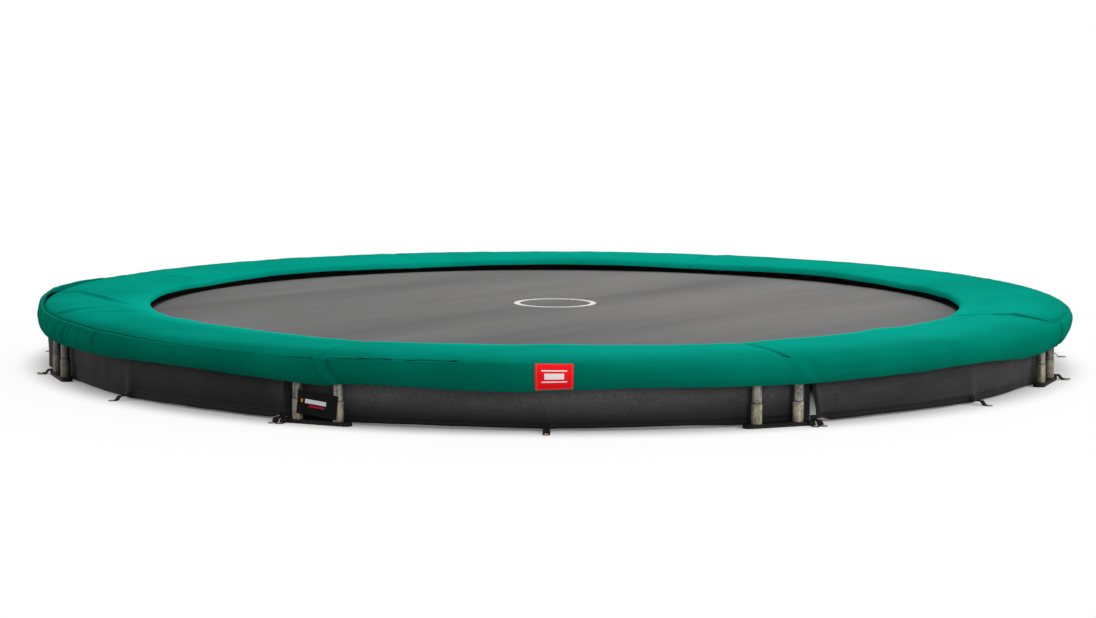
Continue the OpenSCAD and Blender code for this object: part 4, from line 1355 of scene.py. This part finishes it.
# Labels. The rows that the front label covers are counted from the fold and from the hem.
FRONT_LABEL_W = 0.131
LABEL_FIRST = FOLD_ROW + 5
LABEL_LAST = len(path_length) - 4
LABEL_WHITE = srgb(248, 244, 242)
FRONT_BARS = [
    (0.048, 0.010, 0.032, 0.099, LABEL_WHITE), (0.029, 0.0022, 0.022, 0.109, LABEL_WHITE),
    (0.067, 0.0022, 0.022, 0.109, LABEL_WHITE)]
# A label's colours: its ground, the ground's deeper places and the thread.
FRONT_COLOURS = [srgb(255, 26, 34), srgb(250, 18, 28), srgb(255, 120, 116)]
LEG_COLOURS = [srgb(12, 12, 13), srgb(7, 7, 8), srgb(22, 22, 23)]
LEG_LABEL_W = 0.158
LEG_LABEL_H = 0.084
LEG_LABEL_Z = 0.070
LEG_LABEL_SHIFT = 0.008
LEG_LABEL_TILT = math.radians(6)
LEG_LABEL_R = math.sqrt(RAIL_R ** 2 - POST_SPACING ** 2 / 4) + POST_R + 0.0004
LABEL_THICK = 0.0012
LABEL_DRAWN = 0.004
LEG_BARS = [
    (0.036, 0.0075, 0.030, 0.112, srgb(214, 214, 212)),
    (0.052, 0.0032, 0.046, 0.106, srgb(176, 22, 38)),
    (0.036, 0.0060, 0.014, 0.021, srgb(196, 138, 40))]


def sew_label(node, slot, shell, size, colours, bars):
    label = new_object(node + "_patch", *shell, sharp=50)
    dress(label, "frame", node, slot, label_material(slot, size, colours, bars))


def make_front_label():
    half = FRONT_LABEL_W / 2
    phi = np.linspace(-half, half, 25) / PAD_OUT_R
    rows = pad_surface(1, phi)[0][:, LABEL_FIRST:LABEL_LAST + 1]
    v = path_length[LABEL_FIRST:LABEL_LAST + 1] - path_length[LABEL_FIRST]
    size = (FRONT_LABEL_W, float(v[-1]))
    out = unit(rows * np.array((1, 1, 0)))
    uv = grid((phi * PAD_OUT_R + half)[:, None], v[None, :])
    shell = sheet_shell(rows + out * 0.0020, rows + out * 0.0006, uv)
    sew_label("front_label", "label_red", shell, size, FRONT_COLOURS, FRONT_BARS)


def make_leg_label():
    """A cloth label tied across the fronts of two posts, drawn in a little between them."""
    u = np.linspace(-0.5, 0.5, 41)[:, None] * LEG_LABEL_W
    w = np.linspace(0.5, -0.5, 25)[None, :] * LEG_LABEL_H
    across = LEG_LABEL_SHIFT + u * math.cos(LEG_LABEL_TILT) + w * math.sin(LEG_LABEL_TILT)
    z = LEG_LABEL_Z - u * math.sin(LEG_LABEL_TILT) + w * math.cos(LEG_LABEL_TILT)
    from_post = np.abs(np.abs(across) - POST_SPACING / 2)
    drawn = smooth(from_post, 0.012, 0.05) * (1 + 0.5 * noise(u / 0.05, w / 0.06, 700))
    out, aside = axes_at(leg_mid(SECTORS))
    flat = across[..., None] * aside + z[..., None] * UP
    reach = (LEG_LABEL_R + LABEL_THICK - LABEL_DRAWN * drawn)[..., None]
    uv = grid(u + LEG_LABEL_W / 2, LEG_LABEL_H / 2 - w)
    shell = sheet_shell(flat + reach * out, flat + (reach - LABEL_THICK) * out, uv)
    size = (LEG_LABEL_W, LEG_LABEL_H)
    sew_label("leg_label", "label_black", shell, size, LEG_COLOURS, LEG_BARS)


# The stage: a pale floor that turns white away from the object, soft lights and a dimmer sky.
FLOOR_SIZE = 120.0
FLOOR_WHITE = 0.95
FLOOR_BOUNCE = 0.50
SKY_LIGHT = 0.50
WHITE = (1.0, 1.0, 1.0, 1.0)
# Lights: name, place, aim, size in metres and power in watts.
LIGHTS = [
    ("key", (1.5, 7.0, 6.5), (0, 0, 0.2), 6.0, 470),
    ("side", (9.0, -2.5, 3.5), (0, 0, 0.2), 4.0, 300),
    ("front", (6.5, -11.5, 3.6), (0, -2.0, 0.2), 6.0, 580),
    ("left", (-9.5, -1.5, 2.2), (-1.5, -0.5, 0.2), 3.0, 190)]


def seen_by_camera(tree):
    path = add_node(tree, "ShaderNodeLightPath")
    kinds = ("Camera", "Glossy", "Transmission")
    return any_of([Value(path.outputs["Is %s Ray" % kind]) for kind in kinds])


def floor_material():
    """White to the camera away from the object, with the object's shadow kept close to it."""
    p = Paint("floor", 0.9, specular=0.0)
    seen = seen_by_camera(p.tree)
    p.put("Base Color", mix(seen, (FLOOR_BOUNCE,) * 3 + (1,), (FLOOR_WHITE,) * 3 + (1,)))
    reach = length_of(p.place)
    # Near the frame a small share of white glow, a painted light, lightens the shadow. Under the frame
    # the share is painted light, brightest under the springs and fading further in.
    close = ramp(reach, 2.06, 2.26, 0.12, 0.93, interpolation_type="SMOOTHSTEP")
    away = ramp(reach, 2.3, 3.2, 0.0, 0.07, interpolation_type="SMOOTHSTEP")
    under = ramp(reach, 1.45, 1.9, -0.12, 0.16) * ramp(reach, 2.04, 1.95)
    share = (close + away + under) * seen
    white = give(p.tree, "ShaderNodeEmission", {"Color": WHITE, "Strength": 1.0})
    shaders = {0: share, 1: Value(p.shader.outputs[0]), 2: white}
    both = give(p.tree, "ShaderNodeMixShader", shaders)
    p.tree.links.new(both.socket, p.tree.nodes["Material Output"].inputs["Surface"])
    return p.material


def make_floor():
    mesh = bpy.data.meshes.new("floor")
    corners = [(-1, -1), (1, -1), (1, 1), (-1, 1)]
    mesh.from_pydata([(x * FLOOR_SIZE, y * FLOOR_SIZE, 0) for x, y in corners], [], [(0, 1, 2, 3)])
    floor = bpy.data.objects.new("floor", mesh)
    bpy.context.collection.objects.link(floor)
    mesh.materials.append(floor_material())


def make_world():
    world = bpy.data.worlds.new("studio")
    world.use_nodes = True
    tree = world.node_tree
    back = tree.nodes["Background"]
    back.inputs["Color"].default_value = WHITE
    strength = ramp(seen_by_camera(tree), 0.0, 1.0, SKY_LIGHT, 1.0)
    tree.links.new(strength.socket, back.inputs["Strength"])
    bpy.context.scene.world = world


def area_light(name, at, aim, size, power):
    data = bpy.data.lights.new(name, "AREA")
    data.shape = "DISK"
    data.size = size
    data.energy = power
    light = bpy.data.objects.new(name, data)
    bpy.context.collection.objects.link(light)
    light.location = at
    light.rotation_euler = (Vector(aim) - Vector(at)).to_track_quat("-Z", "Y").to_euler()


def dress_cad():
    """Gives the CAD nodes that stay their steel, plastic or zinc."""
    steel = steel_material()
    zinc = metal_material("zinc", srgb(150, 150, 148), srgb(205, 205, 202), 0.36, 300.0, 0.9)
    plastic = plastic_material()
    for name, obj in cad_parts.items():
        kind, _, number = name.partition("_")
        if kind in ("rail", "leg") and number.isdigit():
            use = steel
        elif kind == "foot":
            use = plastic
        else:
            use = zinc
        obj.data.materials.clear()
        obj.data.materials.append(use)


def main():
    dress_cad()
    webbing = webbing_material()
    make_pads(pad_material(), lining_material())
    make_nets()
    make_mat()
    make_hem(webbing)
    make_springs(metal_material("spring_steel", srgb(30, 30, 32), srgb(64, 64, 66), 0.5, 300.0, 0.6))
    make_straps(webbing)
    make_ties(webbing)
    make_tabs(webbing)
    make_eyelets(metal_material("brass", srgb(190, 154, 108), srgb(246, 222, 184), 0.42, 200.0, 0.5))
    make_front_label()
    make_leg_label()
    make_floor()
    make_world()
    for light in LIGHTS:
        area_light(*light)
    bpy.context.scene.view_settings.view_transform = "Standard"


main()
